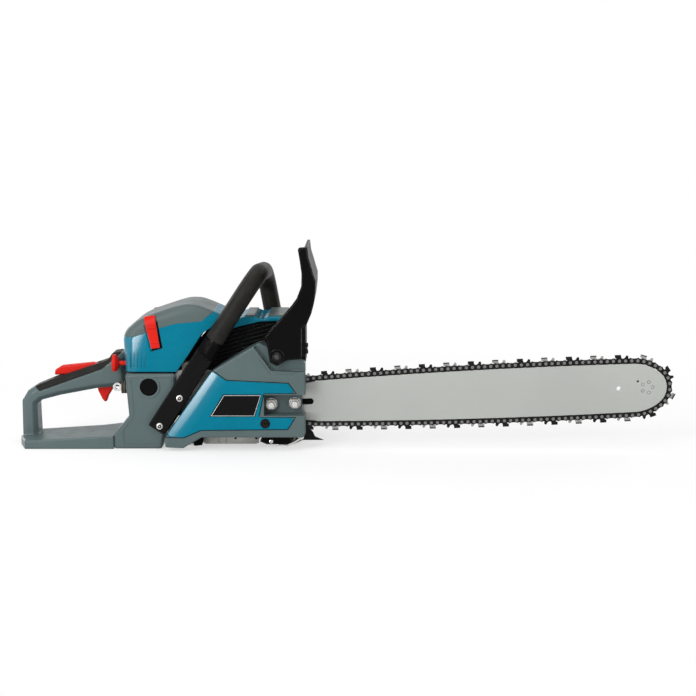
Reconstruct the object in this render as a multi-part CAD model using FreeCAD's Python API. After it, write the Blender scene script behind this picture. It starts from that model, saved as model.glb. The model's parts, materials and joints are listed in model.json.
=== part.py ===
"""Petrol chainsaw with a long guide bar, as separate pieces in millimetres.

The bar points along +X, +Y runs from the clutch side to the starter side, +Z is up.
The origin lies under the crankshaft, on the plane that the saw stands on.
"""
import FreeCAD, Part
import math
import os

Vec = FreeCAD.Vector

# Places that the whole saw follows
CRANK_HEIGHT = 58.0
BAR_PLANE = -42.0
BAR_TILT = 2.4

# Fits
RUNNING_GAP = 0.05
FREE_GAP = 0.3
SEAT_GAP = 0.1
OVERRUN = 2.0
CORNER_ROOM_SHARE = 0.45

# Chain
RIVET_PITCH = 8.255
DRIVE_LINK_THICKNESS = 1.3
STRAP_THICKNESS = 1.2
STRAP_SIDE_GAP = 0.1
STRAP_HALF_HEIGHT = 3.7
RIVET_RADIUS = 1.5
RIVET_HEAD_RADIUS = 2.2
RIVET_HEAD_HEIGHT = 0.5
RIVET_GAP = 0.12
TANG_DEPTH = 9.6
TANG_TOP_WIDTH = 11.0
TANG_TIP_WIDTH = 3.6
CUTTER_HEIGHT = 8.2
CUTTER_LENGTH = 18.6
CUTTER_REAR_SHARE = 0.54
CUTTER_FRONT_SHARE = 0.1
CUTTER_PLATE_WIDTH = 3.6
CUTTER_PLATE_THICKNESS = 1.2
CHAIN_LIFT = 0.6
DRIVE_TEETH = 7
LINK_SHOULDER_SHARE = 0.8
LINK_REACH_SHARE = 0.86

# Guide bar
BAR_THICKNESS = 4.3
BAR_TAIL = 22.0
TAIL_DROP = 0.6
NOSE_DISTANCE = 548.5
NOSE_TIP_RADIUS = 26.4
NOSE_TIP_ANGLE = 50.0
BELLY_HALF_HEIGHT = 33.75
BELLY_DISTANCE = 420.0
BELLY_RADIUS = 8273.0
LEAD_IN_ANGLE = 7.6
GROOVE_WIDTH = 1.6
GROOVE_DEPTH = 7.4
SLOT_START = 28.0
SLOT_END = 97.0
BAR_TRAVEL = 6.0
NOSE_HUB_RADIUS = 9.2
NOSE_SPROCKET_RADIUS = 24.2
NOSE_ROOT_RADIUS = 19.6
NOSE_TEETH = 11
NOSE_RIVET_CIRCLE = 7.4
NOSE_RIVET_RADIUS = 1.7
NOSE_RIVET_RISE = 0.3
NOSE_RIVETS = 5
GREASE_HOLE_DISTANCE = 510.0
GREASE_HOLE_RADIUS = 3.0
PIN_HOLE_DISTANCE = 34.0
PIN_HOLE_DROP = 12.5
PIN_HOLE_RADIUS = 3.2

# Studs and nuts that clamp the bar
STUD_RADIUS = 3.95
STUD_DISTANCES = (40.2, 72.0)
STUD_END_Y = -62.0
SLOT_HALF_HEIGHT = 4.25
NUT_FLANGE_RADIUS = 8.4
NUT_FLANGE_HEIGHT = 1.8
NUT_WIDTH = 13.0
NUT_HEIGHT = 8.0

# Crankcase
CASE_NEAR_Y = -30.0
CASE_FAR_Y = 28.0
CASE_REAR_X = -84.0
CASE_LENGTH = 162.0
DECK_HEIGHT = 96.0
FOOT_HEIGHT = 10.0
CHAMBER_RADIUS = 27.5
CHAMBER_HALF_WIDTH = 14.0
BEARING_RADIUS = 17.5
BEARING_WIDTH = 11.0
JOURNAL_RADIUS = 8.5
OIL_NECK_X = 64.5
OIL_NECK_Z = 64.0
OIL_NECK_RADIUS = 10.0
OIL_CAP_RADIUS = 13.0
BAR_PAD_HEIGHT = 30.0
CASE_WALL = 4.0

# Crank train
CRANK_THROW = 16.0
WEB_RADIUS = 24.0
WEB_INNER_Y = 5.3
WEB_THICKNESS = 7.5
ROD_LENGTH = 56.0
ROD_WIDTH = 9.8
ROD_SHANK_WIDTH = 9.0
ROD_SHANK_THICKNESS = 5.0
BIG_END_RADIUS = 9.5
SMALL_END_RADIUS = 7.5
WRIST_PIN_RADIUS = 4.5
WRIST_PIN_LENGTH = 36.0
BORE_RADIUS = 22.5
PISTON_GAP = 0.08
PISTON_TOP_ABOVE_PIN = 14.0
PISTON_SKIRT_BELOW_PIN = 13.0
PISTON_WALL = 3.0
RING_HEIGHT = 1.5
RING_DEPTH = 2.0
RING_DROPS = (3.0, 6.5)
RING_GAP = 0.03

# Cylinder
BARREL_RADIUS = 27.0
HEAD_HEIGHT = 152.0
FIN_HALF_LENGTH = 33.0
FIN_HALF_WIDTH = 33.0
FIN_THICKNESS = 1.8
FIN_PITCH = 5.4
FIN_COUNT = 8
FIRST_FIN_HEIGHT = 109.4
HEAD_CLEARANCE = 1.5
PORT_HEIGHT = 122.0
PORT_RADIUS = 9.0
PORT_FLANGE_RADIUS = 13.0
PLUG_THREAD_RADIUS = 7.0
PLUG_HEX_WIDTH = 19.0
PLUG_HEX_HEIGHT = 8.0
PLUG_INSULATOR_RADIUS = 5.0
PLUG_TOP_HEIGHT = 170.0

# Clutch and oil pump
CLUTCH_SHAFT_RADIUS = 6.0
CRANK_END_Y = -69.0
SPROCKET_RADIUS = 14.2
SPROCKET_ROOT_RADIUS = 11.6
SPROCKET_WIDTH = 7.0
DRUM_HUB_RADIUS = 10.0
DRUM_RADIUS = 28.4
DRUM_WALL = 1.8
DRUM_FLOOR_Y = -49.6
DRUM_FLOOR_THICKNESS = 2.0
DRUM_OPEN_Y = -67.0
SHOE_GAP = 0.8
SHOE_COUNT = 3
SHOE_RING_WIDTH = 9.0
SHOE_NEAR_Y = -65.0
SHOE_FAR_Y = -54.0
SHOE_SPLIT = 3.0
BAND_GAP = 0.5
BAND_THICKNESS = 0.8
BAND_WIDTH = 12.0
BAND_OPEN_X = 18.0
PUMP_RADIUS = 19.0
PUMP_NEAR_Y = -37.0

# Clutch cover
COVER_REAR_X = -101.5
COVER_LOW_Z = 3.7
COVER_LENGTH = 188.0
COVER_HEIGHT = 141.3
COVER_NEAR_Y = -76.0
COVER_WALL = 3.0
COVER_BEVEL = 1.6
COVER_CORNER = 3.0
COVER_UPPER_Z = 103.0
CHAIN_MOUTH_Y = -50.0
CHANNEL_LOW_Z = 48.0
CHANNEL_HIGH_Z = 76.4
CHANNEL_REAR_X = 31.2
CHANNEL_FLOOR_Y = -50.0
CHANNEL_WALL = 1.9
GUARD_RECESS_Y = -66.4
PANEL_THICKNESS = 1.4
LABEL_THICKNESS = 0.8
TENSION_SCREW_X = 33.0
TENSION_SCREW_SHARE = 0.24275
TENSION_SCREW_Z = COVER_LOW_Z + COVER_HEIGHT * TENSION_SCREW_SHARE
TENSION_SCREW_RADIUS = 4.6
TENSION_SHANK_RADIUS = 2.5
TENSION_SCREW_RISE = 1.0
TENSION_BOSS_RADIUS = 7.0

# Chain-brake hand guard
GUARD_REAR_X = 30.5
GUARD_PIVOT_SHARE = 0.8797
GUARD_PIVOT_Z = COVER_LOW_Z + COVER_HEIGHT * GUARD_PIVOT_SHARE
GUARD_LOBE_DROP = 12.6
GUARD_LOW_Z = GUARD_PIVOT_Z - GUARD_LOBE_DROP
GUARD_LENGTH = 70.5
GUARD_HEIGHT = 157.6
GUARD_NEAR_Y = -78.0
GUARD_ARM_THICKNESS = 11.0
GUARD_FAR_Y = 66.0
GUARD_FAR_ARM_THICKNESS = 7.6
GUARD_PIVOT_X = 49.2
GUARD_BOLT_RADIUS = 4.0
GUARD_BOLT_HEAD_RADIUS = 6.4
GUARD_BOLT_HEAD_HEIGHT = 2.0
GUARD_BEVEL = 1.5

# Front handle
HANDLE_TUBE_RADIUS = 9.5
HANDLE_GRIP_RADIUS = 12.5
HANDLE_BEND = 34.0
HANDLE_NEAR_Y = -70.0
HANDLE_FAR_Y = 85.0
HANDLE_FOOT_X = -113.2
HANDLE_FOOT_Z = 27.5
HANDLE_TOP_X = 24.0
HANDLE_TOP_Z = 238.0
HANDLE_TOP_FAR_Z = 228.0
HANDLE_FAR_TOP_X = 25.0
HANDLE_FAR_LOW_X = 62.0
HANDLE_FAR_LOW_Z = 24.0
HANDLE_SEAT_Y = 44.0
BRACKET_WIDTH = 26.0
BRACKET_THICKNESS = 8.0
BRACKET_NEAR_Y = -72.5
BRACKET_LENGTH = 128.0
BRACKET_CORNER = 3.0
HANDLE_SEAT_RADIUS = 13.0
GRIP_NEAR_SHARE = 0.84
GRIP_FAR_SHARE = 0.3

# Fuel tank housing
TANK_REAR_X = -172.5
TANK_LENGTH = 84.7
TANK_HEIGHT = 102.5
TANK_NEAR_Y = -62.0
TANK_FAR_Y = 56.0
TANK_WALL = 3.5
TANK_BEVEL = 3.0
TANK_CORNER = 4.0
FUEL_NECK_X = -128.0
FUEL_NECK_Z = 62.0
NECK_RADIUS = 15.0
NECK_WALL = 3.0
CAP_RADIUS = 20.0
CAP_HEIGHT = 9.0
CAP_PLUG_LENGTH = 8.0
CAP_PLUG_GAP = 0.08
CAP_NOTCHES = 8
AV_CAP_X = -123.4
AV_CAP_Z = 84.5
AV_CAP_RADIUS = 12.0
AV_CAP_DEPTH = 5.0
AV_RING_WIDTH = 3.0

# Rear handle
REAR_X = -304.0
REAR_LENGTH = 149.0
REAR_HEIGHT = 126.4
REAR_NEAR_Y = -24.0
REAR_WIDTH = 38.0
REAR_BEVEL = 6.0
REAR_CORNER = 6.0
FOOT_PLATE_NEAR_Y = -62.0
FOOT_PLATE_FAR_Y = 31.0
FOOT_PLATE_REAR_Z = 10.6
FOOT_PLATE_FRONT_Z = 17.5
GRIP_PROUD = 0.8
TRIGGER_PIVOT_X = -183.0
TRIGGER_PIVOT_Z = 92.0
TRIGGER_WIDTH = 11.0
TRIGGER_LENGTH = 26.0
TRIGGER_HEIGHT = 42.0
TRIGGER_REAR_X = -203.0
TRIGGER_LOW_Z = 54.8
LOCKOUT_WIDTH = 12.0
LOCKOUT_LENGTH = 60.0
LOCKOUT_HEIGHT = 17.0
LOCKOUT_REAR_X = -260.0
LOCKOUT_LOW_Z = 92.6
LOCKOUT_PIVOT_X = -206.0
LOCKOUT_PIVOT_Z = 101.5
CONTROL_SLOT_WIDTH = 14.0
CONTROL_PIN_RADIUS = 2.0

# Choke knob and stop switch
CHOKE_Y = -38.0
CHOKE_Z = 113.5
CHOKE_FACE_X = -174.5
CHOKE_RADIUS = 11.8
CHOKE_THICKNESS = 4.0
CHOKE_STEM_RADIUS = 3.0
CHOKE_COLLAR_RADIUS = 6.0
CHOKE_COLLAR_LENGTH = 4.0
SWITCH_X = -176.0
SWITCH_Z = 100.0
SWITCH_LENGTH = 9.0
SWITCH_WIDTH = 6.0
SWITCH_RISE = 4.0
RIDGE_SHARES = (-0.3, 0, 0.3)

# Linkage eye and bellows beside the rear handle
EYE_X = -170.0
EYE_Y = -33.0
EYE_Z = 80.0
EYE_RADIUS = 6.0
EYE_HOLE_RADIUS = 3.0
EYE_THICKNESS = 4.0
LINK_ROD_RADIUS = 1.6
BUFFER_RADIUS = 8.0
BUFFER_Z = 45.0
BUFFER_Y = 16.0
BELLOWS_RADIUS = 9.0
BELLOWS_CORE_RADIUS = 6.0
BELLOWS_RIBS = 3
BELLOWS_RIB_WIDTH = 1.8
BELLOWS_PITCH = 3.2

# Air filter cover
FILTER_REAR_X = -158.0
FILTER_LOW_Z = 105.0
FILTER_LENGTH = 133.0
FILTER_HEIGHT = 90.0
FILTER_NEAR_Y = -60.0
FILTER_FAR_Y = 54.0
FILTER_WALL = 2.6
FILTER_ROUND = 13.0
LATCH_THICKNESS = 2.2
LATCH_OVER_TOP = 11.0
LATCH_RECESS = 1.2

# Inside the filter cover
BASE_PLATE_Z = 104.0
BASE_PLATE_THICKNESS = 2.6
BASE_REAR_X = -151.0
CHOKE_GUIDE_LENGTH = 8.0
INNER_REAR_X = -84.0
INNER_FRONT_X = -36.5
INNER_HALF_WIDTH = 38.0
INNER_HIGH_Z = 156.0
INNER_WALL = 3.0
ELEMENT_REAR_X = -132.0
ELEMENT_FRONT_X = -98.0
ELEMENT_HALF_WIDTH = 40.0
ELEMENT_HIGH_Z = 158.0
PLEATS = 10
CARB_REAR_X = -80.0
CARB_FRONT_X = -58.0
CARB_HALF_WIDTH = 17.0
CARB_HALF_HEIGHT = 16.0
CARB_THROAT_RADIUS = 7.0
BOOT_RADIUS = 12.0
BOOT_RIB_RADIUS = 14.5
AV_BLOCK_X = -79.0
AV_BLOCK_Z = 104.0
AV_BLOCK_LENGTH = 15.0
AV_BLOCK_HEIGHT = 14.0
AV_BLOCK_NEAR_Y = -57.0
AV_FAR_BLOCK_WIDTH = 12.0
AV_GROOVES = 4
AV_GROOVE_DEPTH = 1.2

# Cylinder cover, side grille and muffler
TOP_REAR_X = -22.0
TOP_LENGTH = 101.0
TOP_LOW_Z = 158.0
TOP_HEIGHT = 20.0
TOP_HALF_WIDTH = 47.0
TOP_WALL = 2.6
TOP_CAP_THICKNESS = 1.6
TOP_BEVEL = 3.0
TOP_POST_RADIUS = 3.5
TOP_POST_CIRCLE = 19.0
TOP_POST_SHARE = 0.83
TOP_LUG_SHARE = 0.8
GRILLE_NEAR_Y = -46.0
GRILLE_BASE_THICKNESS = 2.5
GRILLE_RIB_DEPTH = 5.0
GRILLE_REAR_X = -38.0
GRILLE_LENGTH = 100.0
GRILLE_LOW_Z = 106.0
GRILLE_HEIGHT = 62.0
GRILLE_RIB_WIDTH = 2.4
GRILLE_RIB_PITCH = 5.4
GRILLE_RIB_COUNT = 11
GRILLE_RIB_ANGLE = 15.0
GRILLE_POSTS = ((-20.0, 128.0), (20.0, 146.0))
GRILLE_POST_RADIUS = 4.0
MUFFLER_REAR_X = 46.0
MUFFLER_LENGTH = 33.0
MUFFLER_HALF_WIDTH = 30.0
MUFFLER_LOW_Z = 98.0
MUFFLER_HIGH_Z = 156.0
MUFFLER_WALL = 1.5
MUFFLER_CORNER = 5.0
SHIELD_LOW_Z = 113.0
SHIELD_HIGH_Z = 167.0
SHIELD_THICKNESS = 7.0
SHIELD_HALF_WIDTH = 32.0
OUTLET_LOW_Y = 10.0
OUTLET_HIGH_Y = 24.0
MUFFLER_BOLT_HEIGHTS = (135.0, 127.4)
MUFFLER_BOLT_Y = -20.0

# Spiked bumper and chain catcher
BUMPER_NEAR_Y = -36.6
BUMPER_REAR_X = 66.0
BUMPER_LENGTH = 44.0
BUMPER_LOW_Z = 6.8
BUMPER_HEIGHT = 92.0
BUMPER_THICKNESS = 3.0
CATCHER_REAR_X = 24.0
CATCHER_LENGTH = 45.0
CATCHER_LOW_Z = 3.0
CATCHER_HEIGHT = 13.0
CATCHER_NEAR_Y = -48.0

# Screws
SCREW_HEAD_RADIUS = 4.4
SCREW_HEAD_HEIGHT = 2.6
SCREW_RADIUS = 2.6
SCREW_LENGTH = 12.0
BRACKET_SCREWS = ((-81.0, 71.5), (-108.3, 33.7))
BUMPER_SCREWS = ((79.0, 12.0), (73.0, 87.0))
MUFFLER_BOLT_RADIUS = 3.5

# Starter side
STARTER_RADIUS = 50.0
STARTER_FAR_Y = 68.0
STARTER_WALL = 2.6
STARTER_BEVEL = 5.0
FLYWHEEL_RADIUS = 44.0
FLYWHEEL_NEAR_Y = 32.0
FLYWHEEL_THICKNESS = 5.0
FLYWHEEL_HUB_RADIUS = 14.0
FAN_BLADES = 14
FAN_BLADE_LENGTH = 16.0
FAN_BLADE_HEIGHT = 8.0
FAN_BLADE_THICKNESS = 2.0
CRANK_FAR_END_Y = 46.0
PULLEY_RADIUS = 25.0
PULLEY_GROOVE_RADIUS = 20.0
PULLEY_NEAR_Y = 47.5
PULLEY_WIDTH = 8.0
PULLEY_BORE_RADIUS = 7.0
SPRING_CASE_RADIUS = 22.0
VENT_COUNT = 18
VENT_INNER_RADIUS = 28.0
VENT_OUTER_RADIUS = 46.0
VENT_WIDTH = 4.2
COIL_HEIGHT = 14.0
COIL_LAP = 0.9
COIL_LENGTH = 30.0
COIL_THICKNESS = 12.0
GRIP_X = -16.0
GRIP_SEAT_Z = 118.0
GRIP_HALF_LENGTH = 17.0
GRIP_HALF_WIDTH = 7.0
GRIP_HEIGHT = 13.0
ROPE_RADIUS = 2.0
ROPE_TILT = 25.0
ROPE_STUB = 13.0
TOWER_LENGTH = 30.0


def points_in(corner, size, shares):
    """Points of an outline from shares of its box."""
    return [(corner[0] + u * size[0], corner[1] + v * size[1]) for u, v in shares]


def inset(points, distances):
    """Outline moved inwards, by one distance or by one for each edge."""
    count = len(points)
    if not isinstance(distances, (list, tuple)):
        distances = [distances] * count
    area = sum(points[i][0] * points[(i + 1) % count][1] - points[(i + 1) % count][0] * points[i][1]
               for i in range(count))
    side = 1 if area > 0 else -1
    moved = []
    for i in range(count):
        before, here, after = points[i - 1], points[i], points[(i + 1) % count]
        ax, az = here[0] - before[0], here[1] - before[1]
        bx, bz = after[0] - here[0], after[1] - here[1]
        a_length, b_length = math.hypot(ax, az), math.hypot(bx, bz)
        ax, az, bx, bz = ax / a_length, az / a_length, bx / b_length, bz / b_length
        a_move, b_move = side * distances[i - 1], side * distances[i]
        turn = ax * bz - az * bx
        px, pz = here[0] - az * a_move, here[1] + ax * a_move
        qx, qz = here[0] - bz * b_move, here[1] + bx * b_move
        along = ((qx - px) * bz - (qz - pz) * bx) / turn
        moved.append((px + ax * along, pz + az * along))
    return moved


def outline(points, y, radius=0):
    """Closed wire in the plane at y, with its corners rounded where there is room."""
    count = len(points)
    radii = radius if isinstance(radius, (list, tuple)) else [radius] * count
    starts, edges = [], []
    for i in range(count):
        before, here, after = points[i - 1], points[i], points[(i + 1) % count]
        ax, az = before[0] - here[0], before[1] - here[1]
        bx, bz = after[0] - here[0], after[1] - here[1]
        a_length, b_length = math.hypot(ax, az), math.hypot(bx, bz)
        angle = math.acos(max(-1, min(1, (ax * bx + az * bz) / (a_length * b_length))))
        corner = Vec(here[0], y, here[1])
        if not radii[i] or math.pi - angle < math.radians(1):
            starts.append((corner, None, corner))
            continue
        room = CORNER_ROOM_SHARE * min(a_length, b_length)
        reach = min(radii[i] / math.tan(angle / 2), room)
        first = Vec(here[0] + ax / a_length * reach, y, here[1] + az / a_length * reach)
        last = Vec(here[0] + bx / b_length * reach, y, here[1] + bz / b_length * reach)
        bow = reach * math.tan(angle / 2) * (1 / math.sin(angle / 2) - 1)
        middle = (first + last) / 2 - corner
        middle.normalize()
        starts.append((first, corner + middle * bow, last))
    for i in range(count):
        first, middle, last = starts[i]
        if middle:
            edges.append(Part.Arc(first, middle, last).toShape())
        edges.append(Part.LineSegment(last, starts[(i + 1) % count][0]).toShape())
    return Part.Wire(edges)


def slab(points, y_low, y_high, radius=0):
    """Plate with an outline in X and Z, between two places along Y."""
    return Part.Face(outline(points, y_low, radius)).extrude(Vec(0, y_high - y_low, 0))


def bevelled(points, y_low, y_high, low_bevel, high_bevel=0, radius=0):
    """Plate whose edges are bevelled on one or both faces."""
    parts = [slab(points, y_low + low_bevel, y_high - high_bevel, radius)]
    if low_bevel:
        wires = [outline(inset(points, low_bevel), y_low, radius), outline(points, y_low + low_bevel, radius)]
        parts.append(Part.makeLoft(wires, True, True))
    if high_bevel:
        wires = [outline(points, y_high - high_bevel, radius),
                 outline(inset(points, high_bevel), y_high, radius)]
        parts.append(Part.makeLoft(wires, True, True))
    return join(parts)


def join(shapes):
    """One solid from touching or overlapping shapes."""
    whole = shapes[0]
    if len(shapes) > 1:
        whole = shapes[0].fuse(shapes[1:]).removeSplitter()
    return whole


def block(x_low, x_high, y_low, y_high, z_low, z_high):
    """Box between two corners."""
    return Part.makeBox(x_high - x_low, y_high - y_low, z_high - z_low, Vec(x_low, y_low, z_low))


def rod_y(radius, x, z, y_low, y_high):
    """Cylinder along Y."""
    return Part.makeCylinder(radius, y_high - y_low, Vec(x, y_low, z), Vec(0, 1, 0))


def rod_x(radius, y, z, x_low, x_high):
    """Cylinder along X."""
    return Part.makeCylinder(radius, x_high - x_low, Vec(x_low, y, z), Vec(1, 0, 0))


def rod_z(radius, x, y, z_low, z_high):
    """Cylinder along Z."""
    return Part.makeCylinder(radius, z_high - z_low, Vec(x, y, z_low), Vec(0, 0, 1))


def ring_y(outer, inner, x, z, y_low, y_high):
    """Ring about an axis along Y."""
    return rod_y(outer, x, z, y_low, y_high).cut(rod_y(inner, x, z, y_low - OVERRUN, y_high + OVERRUN))


def hexagon_y(width, x, z, y_low, y_high):
    """Hexagonal prism along Y, given by its width across flats."""
    reach = width / 2 / math.cos(math.pi / 6)
    turns = [math.pi / 3 * index for index in range(6)]
    corners = [(x + reach * math.cos(turn), z + reach * math.sin(turn)) for turn in turns]
    return slab(corners, y_low, y_high)


def screw_y(x, z, y_head, head_radius=SCREW_HEAD_RADIUS):
    """Round-headed screw that points along +Y, with its head just outside y_head."""
    head = rod_y(head_radius, x, z, y_head - SCREW_HEAD_HEIGHT, y_head)
    outer = y_head - SCREW_HEAD_HEIGHT
    socket = hexagon_y(head_radius, x, z, outer - OVERRUN, y_head - SCREW_HEAD_HEIGHT / 2)
    shank = rod_y(SCREW_RADIUS, x, z, y_head, y_head + SCREW_LENGTH)
    return join([head.cut(socket), shank])


def on_bar(along, across):
    """Place in X and Z of a point given along and across the bar's centreline."""
    tilt = math.radians(BAR_TILT)
    x = along * math.cos(tilt) - across * math.sin(tilt)
    z = CRANK_HEIGHT + along * math.sin(tilt) + across * math.cos(tilt)
    return x, z


def pitch_radius(teeth):
    """Radius of the rivets' circle on a sprocket that takes one drive link per tooth."""
    return teeth * 2 * RIVET_PITCH / (2 * math.pi)


# Faces of the clamp on both sides of the bar
PAD_FACE_Y = BAR_PLANE + BAR_THICKNESS / 2 + SEAT_GAP
CLAMP_FACE_Y = BAR_PLANE - BAR_THICKNESS / 2 - SEAT_GAP

# Chain route: the upper half of a line at a steady offset from the bar's rail
BELLY_CENTRE = (BELLY_DISTANCE, BELLY_HALF_HEIGHT - BELLY_RADIUS)
RIVET_LIFT = STRAP_HALF_HEIGHT + CHAIN_LIFT


def nose_blend():
    """Radius and centre of the arc that joins the belly to the nose tip."""
    cosine = math.cos(math.radians(NOSE_TIP_ANGLE))
    sine = math.sin(math.radians(NOSE_TIP_ANGLE))
    dx, dz = NOSE_DISTANCE - BELLY_CENTRE[0], -BELLY_CENTRE[1]
    spare = BELLY_RADIUS - NOSE_TIP_RADIUS
    extra = (dx * dx + dz * dz - spare * spare) / (2 * (dx * cosine + dz * sine - spare))
    return NOSE_TIP_RADIUS + extra, (NOSE_DISTANCE - extra * cosine, -extra * sine)


def half_route(offset, tail=None):
    """Segments of the upper half, from the sprocket or the bar's tail to the nose tip."""
    lead = math.radians(LEAD_IN_ANGLE)
    base = pitch_radius(DRIVE_TEETH) + offset - RIVET_LIFT - (0 if tail is None else TAIL_DROP)
    rise = base / math.cos(lead)
    belly = BELLY_RADIUS + offset
    shift = rise - BELLY_CENTRE[1]
    slope = math.tan(lead)
    a = 1 + slope * slope
    b = slope * shift - BELLY_CENTRE[0]
    c = BELLY_CENTRE[0] ** 2 + shift * shift - belly * belly
    corner_x = (-b + math.sqrt(b * b - a * c)) / a
    corner = (corner_x, rise + slope * corner_x)
    blend_radius, blend_centre = nose_blend()
    away = math.atan2(blend_centre[1] - BELLY_CENTRE[1], blend_centre[0] - BELLY_CENTRE[0])
    corner_angle = math.atan2(corner[1] - BELLY_CENTRE[1], corner[0] - BELLY_CENTRE[0])
    tip = math.radians(NOSE_TIP_ANGLE)
    segments = []
    if tail is None:
        segments.append(("arc", (0, 0), base, math.pi, math.pi / 2 + lead))
        start = (-base * math.sin(lead), base * math.cos(lead))
    else:
        start = (tail, rise + slope * tail)
    segments.append(("line", start, corner))
    segments.append(("arc", BELLY_CENTRE, belly, corner_angle, away))
    segments.append(("arc", blend_centre, blend_radius + offset, away, tip))
    segments.append(("arc", (NOSE_DISTANCE, 0), NOSE_TIP_RADIUS + offset, tip, 0))
    return segments


def segment_length(segment):
    """Length of one line or arc."""
    if segment[0] == "line":
        return math.hypot(segment[2][0] - segment[1][0], segment[2][1] - segment[1][1])
    return segment[2] * abs(segment[4] - segment[3])


def point_on(segment, share):
    """Point at a share of one line or arc."""
    if segment[0] == "line":
        start, end = segment[1], segment[2]
        return start[0] + share * (end[0] - start[0]), start[1] + share * (end[1] - start[1])
    angle = segment[3] + share * (segment[4] - segment[3])
    return segment[1][0] + segment[2] * math.cos(angle), segment[1][1] + segment[2] * math.sin(angle)


def half_length():
    """Length of the rivets' route from the sprocket to the nose tip."""
    return sum(segment_length(segment) for segment in half_route(RIVET_LIFT))


# The loop holds a whole number of left and right cutter pairs, so the pitch is rounded to fit
LINK_COUNT = 4 * round(half_length() / (4 * RIVET_PITCH))
RIVET_STEP = half_length() / LINK_COUNT


def rivet_places():
    """Places of all rivets round the loop, along and across the bar."""
    route = half_route(RIVET_LIFT)
    half = half_length()
    places = []
    for index in range(2 * LINK_COUNT):
        distance = (index + 1 / 2) * RIVET_STEP
        mirrored = distance > half
        if mirrored:
            distance = 2 * half - distance
        for segment in route:
            length = segment_length(segment)
            if distance <= length:
                break
            distance -= length
        along, across = point_on(segment, min(1, distance / length))
        places.append((along, -across if mirrored else across))
    return places


def bar_face(offset, y, tail):
    """Face of the bar's outline at a steady offset from its rail."""
    edges = []
    for side in (1, -1):
        for segment in half_route(offset, tail):
            ends = []
            for share in (0, 1 / 2, 1):
                along, across = point_on(segment, share)
                x, z = on_bar(along, side * across)
                ends.append(Vec(x, y, z))
            if segment[0] == "line":
                edges.append(Part.LineSegment(ends[0], ends[2]).toShape())
            else:
                edges.append(Part.Arc(*ends).toShape())
    first = point_on(half_route(offset, tail)[0], 0)
    upper, lower = on_bar(first[0], first[1]), on_bar(first[0], -first[1])
    edges.append(Part.LineSegment(Vec(upper[0], y, upper[1]), Vec(lower[0], y, lower[1])).toShape())
    return Part.Face(Part.Wire(Part.__sortEdges__(edges)))


def bar_rod(radius, along, across, y_low, y_high):
    """Cylinder along Y at a place on the bar."""
    x, z = on_bar(along, across)
    return rod_y(radius, x, z, y_low, y_high)


def bar_slot(half_height, start, end, y_low, y_high):
    """Slot along the bar with round ends."""
    low, high = on_bar(start + half_height, 0), on_bar(end - half_height, 0)
    corners = [on_bar(start + half_height, half_height), on_bar(end - half_height, half_height),
               on_bar(end - half_height, -half_height), on_bar(start + half_height, -half_height)]
    ends = [rod_y(half_height, x, z, y_low, y_high) for x, z in (low, high)]
    return join([slab(corners, y_low, y_high)] + ends)


def guide_bar():
    """Bar with a groove for the drive links and a pocket for the nose sprocket."""
    near = BAR_PLANE - BAR_THICKNESS / 2
    far = BAR_PLANE + BAR_THICKNESS / 2
    body = bar_face(0, near, BAR_TAIL).extrude(Vec(0, BAR_THICKNESS, 0))
    groove_low = BAR_PLANE - GROOVE_WIDTH / 2
    groove = bar_face(OVERRUN, groove_low, BAR_TAIL - OVERRUN).extrude(Vec(0, GROOVE_WIDTH, 0))
    core = bar_face(-GROOVE_DEPTH, groove_low, BAR_TAIL - 2 * OVERRUN).extrude(Vec(0, GROOVE_WIDTH, 0))
    body = body.cut(groove.cut(core))
    nose = on_bar(NOSE_DISTANCE, 0)
    body = body.cut(ring_y(NOSE_TIP_RADIUS, NOSE_HUB_RADIUS, nose[0], nose[1],
                           groove_low, groove_low + GROOVE_WIDTH))
    cuts = [bar_slot(SLOT_HALF_HEIGHT, SLOT_START, SLOT_END, near - OVERRUN, far + OVERRUN)]
    cuts.append(bar_rod(GREASE_HOLE_RADIUS, GREASE_HOLE_DISTANCE, 0, near - OVERRUN, far + OVERRUN))
    cuts.append(bar_rod(PIN_HOLE_RADIUS, PIN_HOLE_DISTANCE, -PIN_HOLE_DROP, near - OVERRUN, far + OVERRUN))
    body = body.cut(cuts)
    rivets = []
    for index in range(NOSE_RIVETS):
        angle = 2 * math.pi * index / NOSE_RIVETS
        along = NOSE_DISTANCE + NOSE_RIVET_CIRCLE * math.cos(angle)
        across = NOSE_RIVET_CIRCLE * math.sin(angle)
        rivets.append(bar_rod(NOSE_RIVET_RADIUS, along, across,
                              near - NOSE_RIVET_RISE, far + NOSE_RIVET_RISE))
    return join([body] + rivets)


def toothed(tip, root, teeth, x, z, y_low, y_high, turn=0):
    """Sprocket disc with straight-sided teeth."""
    corners = []
    for index in range(teeth):
        for share, radius in ((-0.42, root), (-0.16, tip), (0.16, tip), (0.42, root)):
            angle = 2 * math.pi * (index + share) / teeth + turn
            corners.append((x + radius * math.cos(angle), z + radius * math.sin(angle)))
    return slab(corners, y_low, y_high)


def nose_sprocket():
    """Ring sprocket that runs on the hub between the bar's side plates."""
    x, z = on_bar(NOSE_DISTANCE, 0)
    low = BAR_PLANE - DRIVE_LINK_THICKNESS / 2
    high = BAR_PLANE + DRIVE_LINK_THICKNESS / 2
    disc = toothed(NOSE_SPROCKET_RADIUS, NOSE_ROOT_RADIUS, NOSE_TEETH, x, z, low, high)
    return disc.cut(rod_y(NOSE_HUB_RADIUS + RUNNING_GAP, x, z, low - OVERRUN, high + OVERRUN))


def local_plate(shares, y_low, y_high, radius=0):
    """Chain plate about the middle of its two rivets, from shares of the rivet pitch and strap height."""
    return slab(points_in((0, 0), (RIVET_STEP, STRAP_HALF_HEIGHT), shares), y_low, y_high, radius)


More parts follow.
